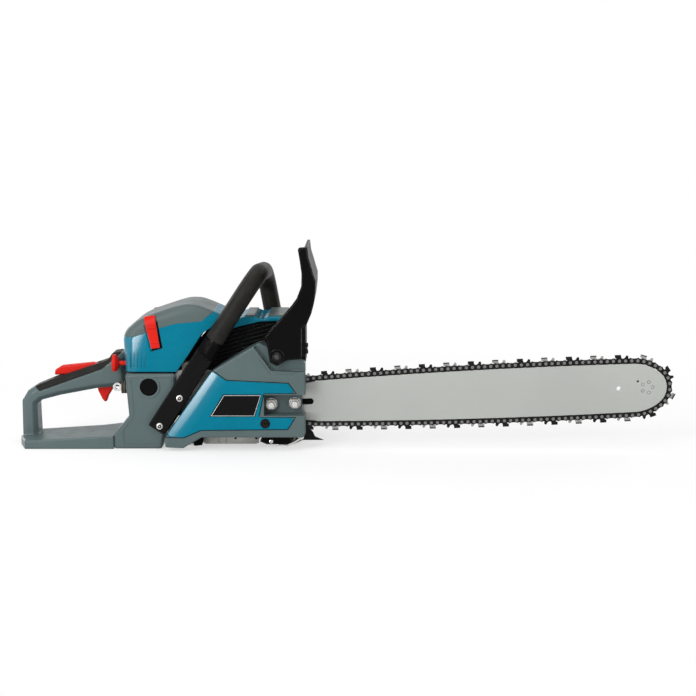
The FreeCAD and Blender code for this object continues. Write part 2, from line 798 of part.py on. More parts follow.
STRAP_SHARES = ((-0.9, -0.6), (-0.7, -1.0), (0.7, -1.0), (0.9, -0.6), (0.94, 0.6), (0.7, 1.0),
                (0.28, 0.72), (-0.28, 0.72), (-0.7, 1.0), (-0.94, 0.6))
CUTTER_BASE_SHARES = ((-0.9, -0.6), (-0.7, -1.0), (0.7, -1.0), (0.9, -0.6), (0.94, 0.6), (0.98, 1.5),
                      (0.86, 2.0), (0.62, 1.95), (0.42, 1.2), (0.2, 0.9), (-0.1, 0.9), (-0.3, 2.1),
                      (-1.22, 1.95), (-1.22, 1.2), (-0.94, 0.9))


def rivet_holes(y_low, y_high):
    """Two holes that the rivets pass through."""
    radius = RIVET_RADIUS + RIVET_GAP
    return [rod_y(radius, side * RIVET_STEP / 2, 0, y_low, y_high) for side in (-1, 1)]


def drive_link_piece():
    """Drive link with its tang below the rivets."""
    low, high = -DRIVE_LINK_THICKNESS / 2, DRIVE_LINK_THICKNESS / 2
    half_top, half_tip = TANG_TOP_WIDTH / 2, TANG_TIP_WIDTH / 2
    shoulder = STRAP_HALF_HEIGHT * LINK_SHOULDER_SHARE
    wide = RIVET_STEP * LINK_REACH_SHARE
    corners = [(-wide, shoulder), (-wide, -shoulder), (-half_top, -STRAP_HALF_HEIGHT),
               (-half_tip, -TANG_DEPTH), (half_tip, -TANG_DEPTH), (half_top, -STRAP_HALF_HEIGHT),
               (wide, -shoulder), (wide, shoulder)]
    body = slab(corners, low, high, RIVET_RADIUS / 2)
    return body.cut(rivet_holes(low - OVERRUN, high + OVERRUN))


def strap_faces():
    """Inner and outer faces of a strap, measured from the bar plane."""
    inner = DRIVE_LINK_THICKNESS / 2 + STRAP_SIDE_GAP
    return inner, inner + STRAP_THICKNESS


def tie_strap_piece(side, riveted):
    """Tie strap on one side; a riveted one carries the two rivets."""
    inner, outer = strap_faces()
    low, high = sorted((side * inner, side * outer))
    plate = local_plate(STRAP_SHARES, low, high)
    if not riveted:
        return plate.cut(rivet_holes(low - OVERRUN, high + OVERRUN))
    reach = outer + RIVET_HEAD_HEIGHT
    parts = [plate]
    for end in (-1, 1):
        x = end * RIVET_STEP / 2
        parts.append(rod_y(RIVET_RADIUS, x, 0, -reach, reach))
        parts.append(rod_y(RIVET_HEAD_RADIUS, x, 0, outer + SEAT_GAP, reach))
        parts.append(rod_y(RIVET_HEAD_RADIUS, x, 0, -reach, -outer - SEAT_GAP))
    return join(parts)


def cutter_piece(side):
    """Cutter on one side, with its top plate behind and its depth gauge in front."""
    inner, outer = strap_faces()
    low, high = sorted((side * inner, side * outer))
    plate = local_plate(CUTTER_BASE_SHARES, low, high)
    plate = plate.cut(rivet_holes(low - OVERRUN, high + OVERRUN))
    top_low = CUTTER_HEIGHT - CUTTER_PLATE_THICKNESS
    plate_low, plate_high = sorted((side * (outer - CUTTER_PLATE_WIDTH), side * outer))
    rear = -CUTTER_LENGTH * CUTTER_REAR_SHARE
    front = -CUTTER_LENGTH * CUTTER_FRONT_SHARE
    top = block(rear, front, plate_low, plate_high, top_low, CUTTER_HEIGHT)
    web = block(rear, front, low, high, top_low - STRAP_THICKNESS, top_low)
    return join([plate, web, top])


def chain():
    """Drive links, tie straps and cutters placed round the loop."""
    places = [on_bar(*place) for place in rivet_places()]
    count = len(places)
    links, straps, cutters = [], [], []
    drive_link = drive_link_piece()
    riveted = {side: tie_strap_piece(side, True) for side in (-1, 1)}
    holed = tie_strap_piece(-1, False), tie_strap_piece(1, False)
    cutter = {side: cutter_piece(side) for side in (-1, 1)}
    for index in range(count):
        start, end = places[index], places[(index + 1) % count]
        angle = math.degrees(math.atan2(end[1] - start[1], end[0] - start[0]))
        middle = Vec((start[0] + end[0]) / 2, BAR_PLANE, (start[1] + end[1]) / 2)
        seat = FreeCAD.Placement(middle, FreeCAD.Rotation(Vec(0, 1, 0), -angle))
        if index % 2 == 0:
            links.append(placed(drive_link, seat))
            continue
        order = index // 2
        side = -1 if order % 4 == 0 else 1
        if order % 2 == 0:
            cutters.append(placed(cutter[side], seat))
            straps.append(placed(riveted[-side], seat))
        else:
            straps.append(placed(riveted[-1], seat))
            straps.append(placed(holed[1], seat))
    nose = on_bar(NOSE_DISTANCE, 0)
    back = on_bar(NOSE_DISTANCE - BAR_TRAVEL, 0)
    wide = NOSE_SPROCKET_RADIUS + CHAIN_LIFT
    low, high = BAR_PLANE - DRIVE_LINK_THICKNESS, BAR_PLANE + DRIVE_LINK_THICKNESS
    sweep = [rod_y(wide, nose[0], nose[1], low, high), rod_y(wide, back[0], back[1], low, high)]
    corners = [on_bar(NOSE_DISTANCE, wide), on_bar(NOSE_DISTANCE, -wide),
               on_bar(NOSE_DISTANCE - BAR_TRAVEL, -wide), on_bar(NOSE_DISTANCE - BAR_TRAVEL, wide)]
    sweep.append(slab(corners, low, high))
    sweep.append(rod_y(SPROCKET_RADIUS + CHAIN_LIFT, 0, CRANK_HEIGHT, low, high))
    links = [cleared(link, sweep) for link in links]
    return links, straps, cutters


def cleared(link, sweep):
    """Drive link with its tang cut short where a sprocket turns."""
    near = [tool for tool in sweep if link.BoundBox.intersect(tool.BoundBox)]
    return link.cut(near).Solids[0] if near else link


def placed(shape, placement):
    """Copy of a shape at a placement."""
    copy = shape.copy()
    copy.Placement = placement
    return copy


def bar_pad(extra):
    """Raised pad of the crankcase that the bar lies against, grown by an extra all round."""
    low, high = on_bar(STUD_DISTANCES[0] - STUD_RADIUS * 2, 0), on_bar(STUD_DISTANCES[1] + STUD_RADIUS * 2, 0)
    half = BAR_PAD_HEIGHT / 2 + extra
    corners = [(low[0] - extra, low[1] - half), (high[0] + extra, high[1] - half),
               (high[0] + extra, high[1] + half), (low[0] - extra, low[1] + half)]
    return slab(corners, PAD_FACE_Y, CASE_NEAR_Y, CASE_WALL)


def bar_studs():
    """Two studs that stand out of the crankcase's pad through the bar's slot."""
    studs = []
    for distance in STUD_DISTANCES:
        x, z = on_bar(distance, 0)
        studs.append(rod_y(STUD_RADIUS, x, z, STUD_END_Y, PAD_FACE_Y))
    return Part.makeCompound(studs)


def bar_nuts():
    """Two flanged nuts on the channel's floor."""
    nuts = []
    for distance in STUD_DISTANCES:
        x, z = on_bar(distance, 0)
        seat = CHANNEL_FLOOR_Y
        flange = rod_y(NUT_FLANGE_RADIUS, x, z, seat - NUT_FLANGE_HEIGHT, seat)
        body = hexagon_y(NUT_WIDTH, x, z, seat - NUT_HEIGHT, seat - NUT_FLANGE_HEIGHT)
        hole = rod_y(STUD_RADIUS + RUNNING_GAP, x, z, seat - NUT_HEIGHT - OVERRUN, seat + OVERRUN)
        nuts.append(join([flange, body]).cut(hole))
    return Part.makeCompound(nuts)


# Clutch cover and what it carries
COVER_CORNER_PLACE = (COVER_REAR_X, COVER_LOW_Z)
COVER_SIZE = (COVER_LENGTH, COVER_HEIGHT)
COVER_SHARES = ((0.345, 0.745), (0.003, 0.115), (0.0, 0.008), (0.13, 0.0), (0.26, 0.105), (0.987, 0.105),
                (1.0, 0.141), (1.0, 0.809), (0.715, 0.972), (0.671, 1.0), (0.589, 0.943))
GUARD_RECESS_SHARES = ((0.64, 1.1), (0.64, 0.96), (0.662, 0.925), (0.758, 0.745), (0.92, 0.731), (1.1, 0.731),
                       (1.1, 1.1))
PANEL_SHARES = ((0.343, 0.747), (0.006, 0.117), (0.133, 0.105), (0.257, 0.177), (0.874, 0.187),
                (0.927, 0.298), (0.668, 0.298), (0.705, 0.53), (0.934, 0.53), (0.879, 0.623), (0.441, 0.652))
LABEL_SHARES = ((0.419, 0.521), (0.323, 0.309), (0.642, 0.309), (0.692, 0.521))


def in_cover(shares):
    """Points from shares of the clutch cover's box."""
    return points_in(COVER_CORNER_PLACE, COVER_SIZE, shares)


def clutch_cover():
    """Shell over clutch and bar mount, with a channel for the two nuts."""
    points = in_cover(COVER_SHARES)
    right = COVER_REAR_X + COVER_LENGTH
    outer = bevelled(points, COVER_NEAR_Y, CASE_NEAR_Y, COVER_BEVEL, 0, COVER_CORNER)
    recess = in_cover(GUARD_RECESS_SHARES)
    outer = outer.cut(slab(recess, COVER_NEAR_Y - OVERRUN, GUARD_RECESS_Y))
    hollow = slab(inset(points, COVER_WALL), COVER_NEAR_Y + COVER_WALL, CASE_NEAR_Y + OVERRUN, COVER_CORNER)
    recess_floor = slab(inset(recess, -COVER_WALL), COVER_NEAR_Y, GUARD_RECESS_Y + COVER_WALL)
    outer = outer.cut(hollow.cut(recess_floor))
    channel = block(CHANNEL_REAR_X - CHANNEL_WALL, right - SEAT_GAP, COVER_NEAR_Y + COVER_BEVEL, CLAMP_FACE_Y,
                    CHANNEL_LOW_Z - COVER_WALL, CHANNEL_HIGH_Z + COVER_WALL)
    boss = rod_y(TENSION_BOSS_RADIUS, TENSION_SCREW_X, TENSION_SCREW_Z,
                 COVER_NEAR_Y + COVER_BEVEL, CHAIN_MOUTH_Y)
    upper_rim = GRILLE_NEAR_Y - FREE_GAP
    stem = rod_y(GUARD_BOLT_HEAD_RADIUS, GUARD_PIVOT_X, GUARD_PIVOT_Z, GUARD_RECESS_Y, upper_rim)
    shell = join([outer, channel, boss, stem])
    cuts = [block(right - OVERRUN - COVER_WALL, right + OVERRUN, CHAIN_MOUTH_Y, CASE_NEAR_Y + OVERRUN,
                  COVER_LOW_Z, DECK_HEIGHT + FOOT_HEIGHT)]
    cuts.append(block(CHANNEL_REAR_X, right + OVERRUN, COVER_NEAR_Y - OVERRUN, CHANNEL_FLOOR_Y,
                      CHANNEL_LOW_Z, CHANNEL_HIGH_Z))
    cuts.append(block(COVER_REAR_X, right + OVERRUN, upper_rim, CASE_NEAR_Y + OVERRUN,
                      COVER_UPPER_Z, COVER_LOW_Z + COVER_HEIGHT + OVERRUN))
    cuts.append(block(BUMPER_REAR_X - FREE_GAP, right + OVERRUN, BUMPER_NEAR_Y - SCREW_HEAD_HEIGHT - FREE_GAP,
                      CASE_NEAR_Y + OVERRUN, COVER_LOW_Z, CATCHER_LOW_Z + 2 * CATCHER_HEIGHT))
    for distance in STUD_DISTANCES:
        cuts.append(bar_rod(STUD_RADIUS + FREE_GAP, distance, 0, CHANNEL_FLOOR_Y - OVERRUN,
                            CLAMP_FACE_Y + OVERRUN))
    cuts.append(rod_y(TENSION_SCREW_RADIUS + RUNNING_GAP, TENSION_SCREW_X, TENSION_SCREW_Z,
                      COVER_NEAR_Y - OVERRUN, COVER_NEAR_Y + 2 * COVER_WALL))
    cuts.append(rod_y(TENSION_SHANK_RADIUS + RUNNING_GAP, TENSION_SCREW_X, TENSION_SCREW_Z,
                      COVER_NEAR_Y, CLAMP_FACE_Y + OVERRUN))
    cuts.append(rod_y(GUARD_BOLT_RADIUS, GUARD_PIVOT_X, GUARD_PIVOT_Z,
                      GUARD_NEAR_Y, GUARD_RECESS_Y + SCREW_LENGTH))
    return shell.cut(cuts)


def cover_panel():
    """Coloured inlay on the clutch cover's face, open at the nut channel and round the plate."""
    panel = bevelled(in_cover(PANEL_SHARES), COVER_NEAR_Y - PANEL_THICKNESS, COVER_NEAR_Y,
                     PANEL_THICKNESS / 2, 0, COVER_CORNER)
    cuts = [slab(in_cover(LABEL_SHARES), COVER_NEAR_Y - PANEL_THICKNESS - OVERRUN, COVER_NEAR_Y + OVERRUN)]
    cuts.append(rod_y(TENSION_SCREW_RADIUS + FREE_GAP, TENSION_SCREW_X, TENSION_SCREW_Z,
                      COVER_NEAR_Y - PANEL_THICKNESS - OVERRUN, COVER_NEAR_Y + OVERRUN))
    return panel.cut(cuts)


def label_plate():
    """Plain plate let into the panel."""
    points = inset(in_cover(LABEL_SHARES), SEAT_GAP)
    depth = PANEL_THICKNESS + LABEL_THICKNESS
    return bevelled(points, COVER_NEAR_Y - depth, COVER_NEAR_Y, LABEL_THICKNESS / 2)


def tension_screw():
    """Slotted screw that moves the bar along."""
    head_low = COVER_NEAR_Y - PANEL_THICKNESS - TENSION_SCREW_RISE
    head_high = COVER_NEAR_Y + 2 * COVER_WALL - SEAT_GAP
    head = rod_y(TENSION_SCREW_RADIUS, TENSION_SCREW_X, TENSION_SCREW_Z, head_low, head_high)
    slot = block(TENSION_SCREW_X - TENSION_SCREW_RADIUS, TENSION_SCREW_X + TENSION_SCREW_RADIUS,
                 head_low - OVERRUN, head_low + TENSION_SCREW_RISE,
                 TENSION_SCREW_Z - TENSION_SCREW_RISE / 2, TENSION_SCREW_Z + TENSION_SCREW_RISE / 2)
    end = BAR_PLANE - BAR_THICKNESS / 2 - FREE_GAP
    shank = rod_y(TENSION_SHANK_RADIUS, TENSION_SCREW_X, TENSION_SCREW_Z, head_low + TENSION_SCREW_RISE, end)
    return join([head.cut(slot), shank])


# Chain-brake hand guard
GUARD_SHARES = ((0.662, 0.994), (0.697, 0.902), (0.735, 0.78), (0.728, 0.673), (0.637, 0.567), (0.545, 0.51),
                (0.146, 0.306), (0.0, 0.23), (0.07, 0.216), (0.129, 0.033), (0.26, 0.0), (0.441, 0.048),
                (0.729, 0.061), (0.729, 0.315), (0.828, 0.353), (0.918, 0.448), (0.965, 0.53), (0.994, 0.638),
                (0.996, 0.721), (0.955, 0.779), (0.865, 0.917), (0.844, 1.0))
GUARD_FAR_ARM_SHARES = ((0.735, 0.6), (0.637, 0.5), (0.3, 0.3), (0.15, 0.12), (0.15, 0.04), (0.26, 0.0),
                        (0.4, 0.03), (0.55, 0.2), (0.918, 0.448), (0.985, 0.6))
SHIELD_SHARES = ((0.955, 0.518), (0.965, 0.53), (0.994, 0.638), (0.996, 0.721), (0.955, 0.779),
                 (0.865, 0.917), (0.844, 1.0), (0.79, 1.0), (0.81, 0.913), (0.9, 0.77), (0.94, 0.715),
                 (0.938, 0.64), (0.9, 0.518))


def in_guard(shares):
    """Points from shares of the hand guard's box."""
    return points_in((GUARD_REAR_X, GUARD_LOW_Z), (GUARD_LENGTH, GUARD_HEIGHT), shares)


def hand_guard():
    """Guard with an arm on each side and a shield across the front of the handle."""
    arm = bevelled(in_guard(GUARD_SHARES), GUARD_NEAR_Y, GUARD_NEAR_Y + GUARD_ARM_THICKNESS,
                   GUARD_BEVEL, 0, 2 * GUARD_BEVEL)
    far_arm = slab(in_guard(GUARD_FAR_ARM_SHARES), GUARD_FAR_Y - GUARD_FAR_ARM_THICKNESS, GUARD_FAR_Y)
    shield = slab(in_guard(SHIELD_SHARES), GUARD_NEAR_Y + GUARD_ARM_THICKNESS / 2, GUARD_FAR_Y)
    guard = join([arm, far_arm, shield])
    hole = rod_y(GUARD_BOLT_RADIUS + RUNNING_GAP, GUARD_PIVOT_X, GUARD_PIVOT_Z,
                 GUARD_NEAR_Y - OVERRUN, GUARD_FAR_Y + OVERRUN)
    return guard.cut(hole)


def guard_bolt():
    """Bolt that the guard turns on, on the clutch side."""
    head = rod_y(GUARD_BOLT_HEAD_RADIUS, GUARD_PIVOT_X, GUARD_PIVOT_Z,
                 GUARD_NEAR_Y - SEAT_GAP - GUARD_BOLT_HEAD_HEIGHT, GUARD_NEAR_Y - SEAT_GAP)
    outer = GUARD_NEAR_Y - GUARD_BOLT_HEAD_HEIGHT
    socket = hexagon_y(GUARD_BOLT_RADIUS, GUARD_PIVOT_X, GUARD_PIVOT_Z,
                       outer - OVERRUN, GUARD_NEAR_Y - GUARD_BOLT_HEAD_HEIGHT / 2)
    shank = rod_y(GUARD_BOLT_RADIUS, GUARD_PIVOT_X, GUARD_PIVOT_Z, GUARD_NEAR_Y - SEAT_GAP,
                  GUARD_RECESS_Y + SCREW_LENGTH)
    return join([head.cut(socket), shank])


# Front handle
def handle_points():
    """Corners of the front handle's tube from the near foot over the top to the far foot."""
    start_x = (HANDLE_FOOT_X + HANDLE_TOP_X) / 2
    start_z = (HANDLE_FOOT_Z + HANDLE_TOP_Z) / 2
    return [Vec(start_x, HANDLE_NEAR_Y, start_z), Vec(HANDLE_TOP_X, HANDLE_NEAR_Y, HANDLE_TOP_Z),
            Vec(HANDLE_FAR_TOP_X, HANDLE_FAR_Y, HANDLE_TOP_FAR_Z),
            Vec(HANDLE_FAR_LOW_X, HANDLE_FAR_Y, HANDLE_FAR_LOW_Z),
            Vec(HANDLE_FAR_LOW_X, HANDLE_SEAT_Y, HANDLE_FAR_LOW_Z)]


def bent_path(points, bend):
    """Wire of straight runs joined by tangent arcs."""
    edges = []
    last = points[0]
    for before, here, after in zip(points, points[1:], points[2:]):
        back = before - here
        on = after - here
        lengths = back.Length, on.Length
        back.normalize()
        on.normalize()
        angle = back.getAngle(on)
        reach = min(bend / math.tan(angle / 2), CORNER_ROOM_SHARE * min(lengths))
        radius = reach * math.tan(angle / 2)
        middle = back + on
        middle.normalize()
        first, final = here + back * reach, here + on * reach
        top = here + middle * (radius / math.sin(angle / 2) - radius)
        edges.append(Part.LineSegment(last, first).toShape())
        edges.append(Part.Arc(first, top, final).toShape())
        last = final
    edges.append(Part.LineSegment(last, points[-1]).toShape())
    return Part.Wire(edges)


def tube_along(path, radius):
    """Round bar along a path of runs and arcs."""
    start = path.Edges[0].Vertexes[0].Point
    direction = path.Edges[0].tangentAt(path.Edges[0].FirstParameter)
    profile = Part.Wire([Part.Circle(start, direction, radius).toShape()])
    return path.makePipeShell([profile], True, True)


def front_handle():
    """Bent tube whose near foot is a flat bracket along the side of the saw."""
    tube = tube_along(bent_path(handle_points(), HANDLE_BEND), HANDLE_TUBE_RADIUS)
    run_x, run_z = HANDLE_TOP_X - HANDLE_FOOT_X, HANDLE_TOP_Z - HANDLE_FOOT_Z
    length = math.hypot(run_x, run_z)
    ux, uz = run_x / length, run_z / length
    half = BRACKET_WIDTH / 2
    low = (HANDLE_FOOT_X, HANDLE_FOOT_Z)
    high = (low[0] + ux * BRACKET_LENGTH, low[1] + uz * BRACKET_LENGTH)
    corners = [(low[0] + uz * half, low[1] - ux * half), (high[0] + uz * half, high[1] - ux * half),
               (high[0] - uz * half, high[1] + ux * half), (low[0] - uz * half, low[1] + ux * half)]
    inner_face = BRACKET_NEAR_Y + BRACKET_THICKNESS
    bracket = bevelled(corners, BRACKET_NEAR_Y, inner_face, GUARD_BEVEL, GUARD_BEVEL, BRACKET_CORNER)
    holes = [rod_y(SCREW_RADIUS, x, z, BRACKET_NEAR_Y - OVERRUN, inner_face + OVERRUN)
             for x, z in BRACKET_SCREWS]
    return join([tube, bracket]).cut(holes)


def front_grip():
    """Rubber sleeve over the upper part of the front handle."""
    points = handle_points()
    points[0] = points[0] + (points[1] - points[0]) * (1 - GRIP_NEAR_SHARE)
    points = points[:4]
    points[3] = points[2] + (points[3] - points[2]) * GRIP_FAR_SHARE
    outer = tube_along(bent_path(points, HANDLE_BEND), HANDLE_GRIP_RADIUS)
    inner = tube_along(bent_path(handle_points(), HANDLE_BEND), HANDLE_TUBE_RADIUS)
    return outer.cut(inner)


# Fuel tank housing and rear handle
TANK_SHARES = ((0.202, 1.0), (0.256, 0.43), (0.08, 0.263), (0.0, 0.185), (0.0, 0.0), (0.768, 0.0),
               (1.0, 0.814), (1.0, 1.0))
REAR_SHARES = ((0.003, 0.464), (0.06, 0.574), (0.128, 0.621), (0.302, 0.706), (0.799, 0.905), (0.846, 0.987),
               (0.92, 1.0), (0.965, 0.95), (0.965, 0.615), (0.855, 0.615),
               (0.689, 0.597), (0.362, 0.525), (0.185, 0.47), (0.138, 0.425), (0.146, 0.02), (0.0, 0.02))
ROOT_SHARES = ((0.92, 0.62), (0.92, 0.805), (1.05, 0.805), (1.05, 0.62))
FOOT_PLATE_SHARES = ((0.0, 0.34), (0.09, 0.0), (1.0, 0.0), (1.0, 1.0), (0.8, 0.9), (0.1, 0.84), (0.0, 0.77))
GRIP_SHARES = ((0.1, 0.65), (0.25, 0.8), (0.78, 1.0), (0.84, 1.05), (0.925, 1.05), (0.925, 0.99),
               (0.85, 0.91), (0.821, 0.888), (0.745, 0.815), (0.172, 0.575))


def in_rear(shares):
    """Points from shares of the rear handle's box."""
    return points_in((REAR_X, 0), (REAR_LENGTH, REAR_HEIGHT), shares)


def tank_points():
    """Outline of the fuel tank housing."""
    return points_in((TANK_REAR_X, 0), (TANK_LENGTH, TANK_HEIGHT), TANK_SHARES)


def tank_housing():
    """Hollow housing with a filler neck on the far side and a seat for the round cap."""
    points = tank_points()
    shell = bevelled(points, TANK_NEAR_Y, TANK_FAR_Y, TANK_BEVEL, TANK_BEVEL, TANK_CORNER)
    hollow = slab(inset(points, TANK_WALL), TANK_NEAR_Y + AV_CAP_DEPTH + TANK_WALL, TANK_FAR_Y - TANK_WALL)
    shell = shell.cut(hollow)
    near, far = TANK_NEAR_Y, TANK_FAR_Y
    neck = rod_y(NECK_RADIUS + NECK_WALL, FUEL_NECK_X, FUEL_NECK_Z, far - TANK_WALL, far + NECK_WALL)
    ring = rod_y(AV_CAP_RADIUS + AV_RING_WIDTH, AV_CAP_X, AV_CAP_Z, near - LABEL_THICKNESS, near + TANK_WALL)
    shell = join([shell, neck, ring])
    cuts = [rod_y(NECK_RADIUS, FUEL_NECK_X, FUEL_NECK_Z, far - 2 * TANK_WALL, far + NECK_WALL + OVERRUN)]
    cuts.append(rod_y(AV_CAP_RADIUS, AV_CAP_X, AV_CAP_Z, near - OVERRUN, near + AV_CAP_DEPTH))
    cuts += [rod_y(SCREW_RADIUS, x, z, near - OVERRUN, near + SCREW_LENGTH) for x, z in BRACKET_SCREWS]
    return shell.cut(cuts)


def filler_cap(x, z, y_seat, radius, neck):
    """Round cap with grip notches and a plug that fits the filler neck."""
    cap = rod_y(radius, x, z, y_seat + FREE_GAP, y_seat + CAP_HEIGHT)
    notches = []
    for index in range(CAP_NOTCHES):
        angle = 2 * math.pi / CAP_NOTCHES * index
        notches.append(rod_y(radius / CAP_NOTCHES, x + radius * math.cos(angle), z + radius * math.sin(angle),
                             y_seat, y_seat + CAP_HEIGHT + OVERRUN))
    bar = block(x - radius / 2, x + radius / 2, y_seat + CAP_HEIGHT, y_seat + CAP_HEIGHT + NECK_WALL,
                z - NECK_WALL / 2, z + NECK_WALL / 2)
    plug = rod_y(neck - CAP_PLUG_GAP, x, z, y_seat - CAP_PLUG_LENGTH, y_seat + FREE_GAP)
    return join([cap.cut(notches), bar, plug])


def choke_stem(radius):
    """Straight stem of the choke knob, from the knob to the filter."""
    return rod_x(radius, CHOKE_Y, CHOKE_Z, CHOKE_FACE_X + CHOKE_THICKNESS, ELEMENT_REAR_X - OVERRUN)


def choke_knob():
    """Pull knob with collar and stem."""
    knob_end = CHOKE_FACE_X + CHOKE_THICKNESS
    disc = rod_x(CHOKE_RADIUS, CHOKE_Y, CHOKE_Z, CHOKE_FACE_X, knob_end)
    rim = Part.makeCone(CHOKE_RADIUS, CHOKE_COLLAR_RADIUS, CHOKE_COLLAR_LENGTH,
                        Vec(knob_end, CHOKE_Y, CHOKE_Z), Vec(1, 0, 0))
    return join([disc, rim, choke_stem(CHOKE_STEM_RADIUS)])


def foot_plate():
    """Flat foot under the rear handle, wider towards the tank."""
    plan_size = (TANK_REAR_X - REAR_X, FOOT_PLATE_FAR_Y - FOOT_PLATE_NEAR_Y)
    plan = points_in((REAR_X, FOOT_PLATE_NEAR_Y), plan_size, FOOT_PLATE_SHARES)
    wire = Part.makePolygon([Vec(x, y, 0) for x, y in plan + plan[:1]])
    prism = Part.Face(wire).extrude(Vec(0, 0, FOOT_PLATE_FRONT_Z))
    side = [(REAR_X - OVERRUN, 0), (TANK_REAR_X, 0), (TANK_REAR_X, FOOT_PLATE_FRONT_Z),
            (REAR_X - OVERRUN, FOOT_PLATE_REAR_Z)]
    return prism.common(slab(side, FOOT_PLATE_NEAR_Y - OVERRUN, FOOT_PLATE_FAR_Y + OVERRUN))


def control_slot():
    """Room inside the handle for the trigger and the lockout."""
    middle = REAR_NEAR_Y + REAR_WIDTH / 2
    low, high = middle - CONTROL_SLOT_WIDTH / 2, middle + CONTROL_SLOT_WIDTH / 2
    lower = in_rear(((0.64, 0.3), (0.875, 0.3), (0.875, 0.81), (0.64, 0.81)))
    upper = in_rear(((0.27, 1.0), (0.285, 0.64), (0.7, 0.72), (0.745, 1.0)))
    return slab(lower, low, high), slab(upper, low, high)


def rear_handle():
    """Handle loop with its post, foot plate and the slots for the controls."""
    near, far = REAR_NEAR_Y, REAR_NEAR_Y + REAR_WIDTH
    loop = bevelled(in_rear(REAR_SHARES), near, far, REAR_BEVEL, REAR_BEVEL, REAR_CORNER)
    root = slab(in_rear(ROOT_SHARES), near + REAR_BEVEL, far - REAR_BEVEL)
    tank = slab(tank_points(), TANK_NEAR_Y - OVERRUN, TANK_FAR_Y + OVERRUN, TANK_CORNER)
    body = join([loop, root, foot_plate()]).cut(tank)
    body = body.cut([handle_grip_space()] + list(control_slot()))
    body = body.cut([rod_y(CONTROL_PIN_RADIUS, x, z, near + REAR_BEVEL / 2, far - REAR_BEVEL / 2)
                     for x, z in control_pivots()])
    return body


def control_pivots():
    """Places of the pins that the trigger and the lockout turn on."""
    return ((TRIGGER_PIVOT_X, TRIGGER_PIVOT_Z), (LOCKOUT_PIVOT_X, LOCKOUT_PIVOT_Z))


def control_pins():
    """Pins of the trigger and the lockout."""
    near, far = REAR_NEAR_Y + REAR_BEVEL / 2, REAR_NEAR_Y + REAR_WIDTH - REAR_BEVEL / 2
    return [rod_y(CONTROL_PIN_RADIUS, x, z, near, far) for x, z in control_pivots()]


def handle_grip_space():
    """Strip along the handle's back that the soft grip fills."""
    return slab(in_rear(GRIP_SHARES), REAR_NEAR_Y - OVERRUN, REAR_NEAR_Y + REAR_WIDTH + OVERRUN)


def handle_grip():
    """Soft grip let into the handle's back, a little proud at the sides."""
    near, far = REAR_NEAR_Y - GRIP_PROUD, REAR_NEAR_Y + REAR_WIDTH + GRIP_PROUD
    loop = bevelled(in_rear(REAR_SHARES), near, far, REAR_BEVEL, REAR_BEVEL, REAR_CORNER)
    return loop.common(handle_grip_space()).cut(list(control_slot()) + control_pins())


TRIGGER_SHARES = ((0.0, 0.62), (0.1, 0.36), (0.3, 0.1), (0.43, 0.0), (0.52, 0.02), (0.62, 0.2), (0.85, 0.42),
                  (1.0, 0.75), (1.0, 1.0), (0.3, 1.0), (0.0, 0.86))
LOCKOUT_SHARES = ((0.0, 0.0), (0.02, 0.42), (0.17, 0.74), (0.88, 1.0), (1.0, 0.9), (1.0, 0.4), (0.85, 0.16))


def throttle_trigger():
    """Trigger below the handle."""
    middle = REAR_NEAR_Y + REAR_WIDTH / 2
    low, high = middle - TRIGGER_WIDTH / 2, middle + TRIGGER_WIDTH / 2
    points = points_in((TRIGGER_REAR_X, TRIGGER_LOW_Z), (TRIGGER_LENGTH, TRIGGER_HEIGHT), TRIGGER_SHARES)
    body = bevelled(points, low, high, GUARD_BEVEL, GUARD_BEVEL, GUARD_BEVEL)
    return body.cut(rod_y(CONTROL_PIN_RADIUS + RUNNING_GAP, TRIGGER_PIVOT_X, TRIGGER_PIVOT_Z,
                          low - OVERRUN, high + OVERRUN))


def throttle_lockout():
    """Lever along the handle's back that frees the trigger."""
    middle = REAR_NEAR_Y + REAR_WIDTH / 2
    low, high = middle - LOCKOUT_WIDTH / 2, middle + LOCKOUT_WIDTH / 2
    points = points_in((LOCKOUT_REAR_X, LOCKOUT_LOW_Z), (LOCKOUT_LENGTH, LOCKOUT_HEIGHT), LOCKOUT_SHARES)
    body = bevelled(points, low, high, GUARD_BEVEL, GUARD_BEVEL, GUARD_BEVEL)
    return body.cut(rod_y(CONTROL_PIN_RADIUS + RUNNING_GAP, LOCKOUT_PIVOT_X, LOCKOUT_PIVOT_Z,
                          low - OVERRUN, high + OVERRUN))


def stop_switch():
    """Slide switch on the far side of the handle's root."""
    face = REAR_NEAR_Y + REAR_WIDTH
    low, high = SWITCH_Z - SWITCH_WIDTH / 2, SWITCH_Z + SWITCH_WIDTH / 2
    slider = block(SWITCH_X - SWITCH_LENGTH / 2, SWITCH_X + SWITCH_LENGTH / 2,
                   face + SEAT_GAP, face + SWITCH_RISE, low, high)
    ridges = []
    for share in RIDGE_SHARES:
        place = SWITCH_X + share * SWITCH_LENGTH
        ridges.append(block(place, place + FIN_THICKNESS / 2, face + SWITCH_RISE,
                            face + SWITCH_RISE + FIN_THICKNESS / 2, low, high))
    return join([slider] + ridges)


def linkage_eye():
    """Ring on a rod beside the handle's root."""
    low, high = EYE_Y - EYE_THICKNESS / 2, EYE_Y + EYE_THICKNESS / 2
    ring = ring_y(EYE_RADIUS, EYE_HOLE_RADIUS, EYE_X, EYE_Z, low, high)
    end = tank_rear_at(EYE_Z)
    rod = rod_x(LINK_ROD_RADIUS, EYE_Y, EYE_Z, EYE_X + (EYE_RADIUS + EYE_HOLE_RADIUS) / 2, end + OVERRUN)
    return join([ring, rod]).cut(slab(tank_points(), TANK_NEAR_Y, TANK_FAR_Y, TANK_CORNER))


def tank_rear_at(z):
    """X of the tank's rear wall at a height."""
    top, low = tank_points()[0], tank_points()[1]
    return top[0] + (low[0] - top[0]) * (top[1] - z) / (top[1] - low[1])


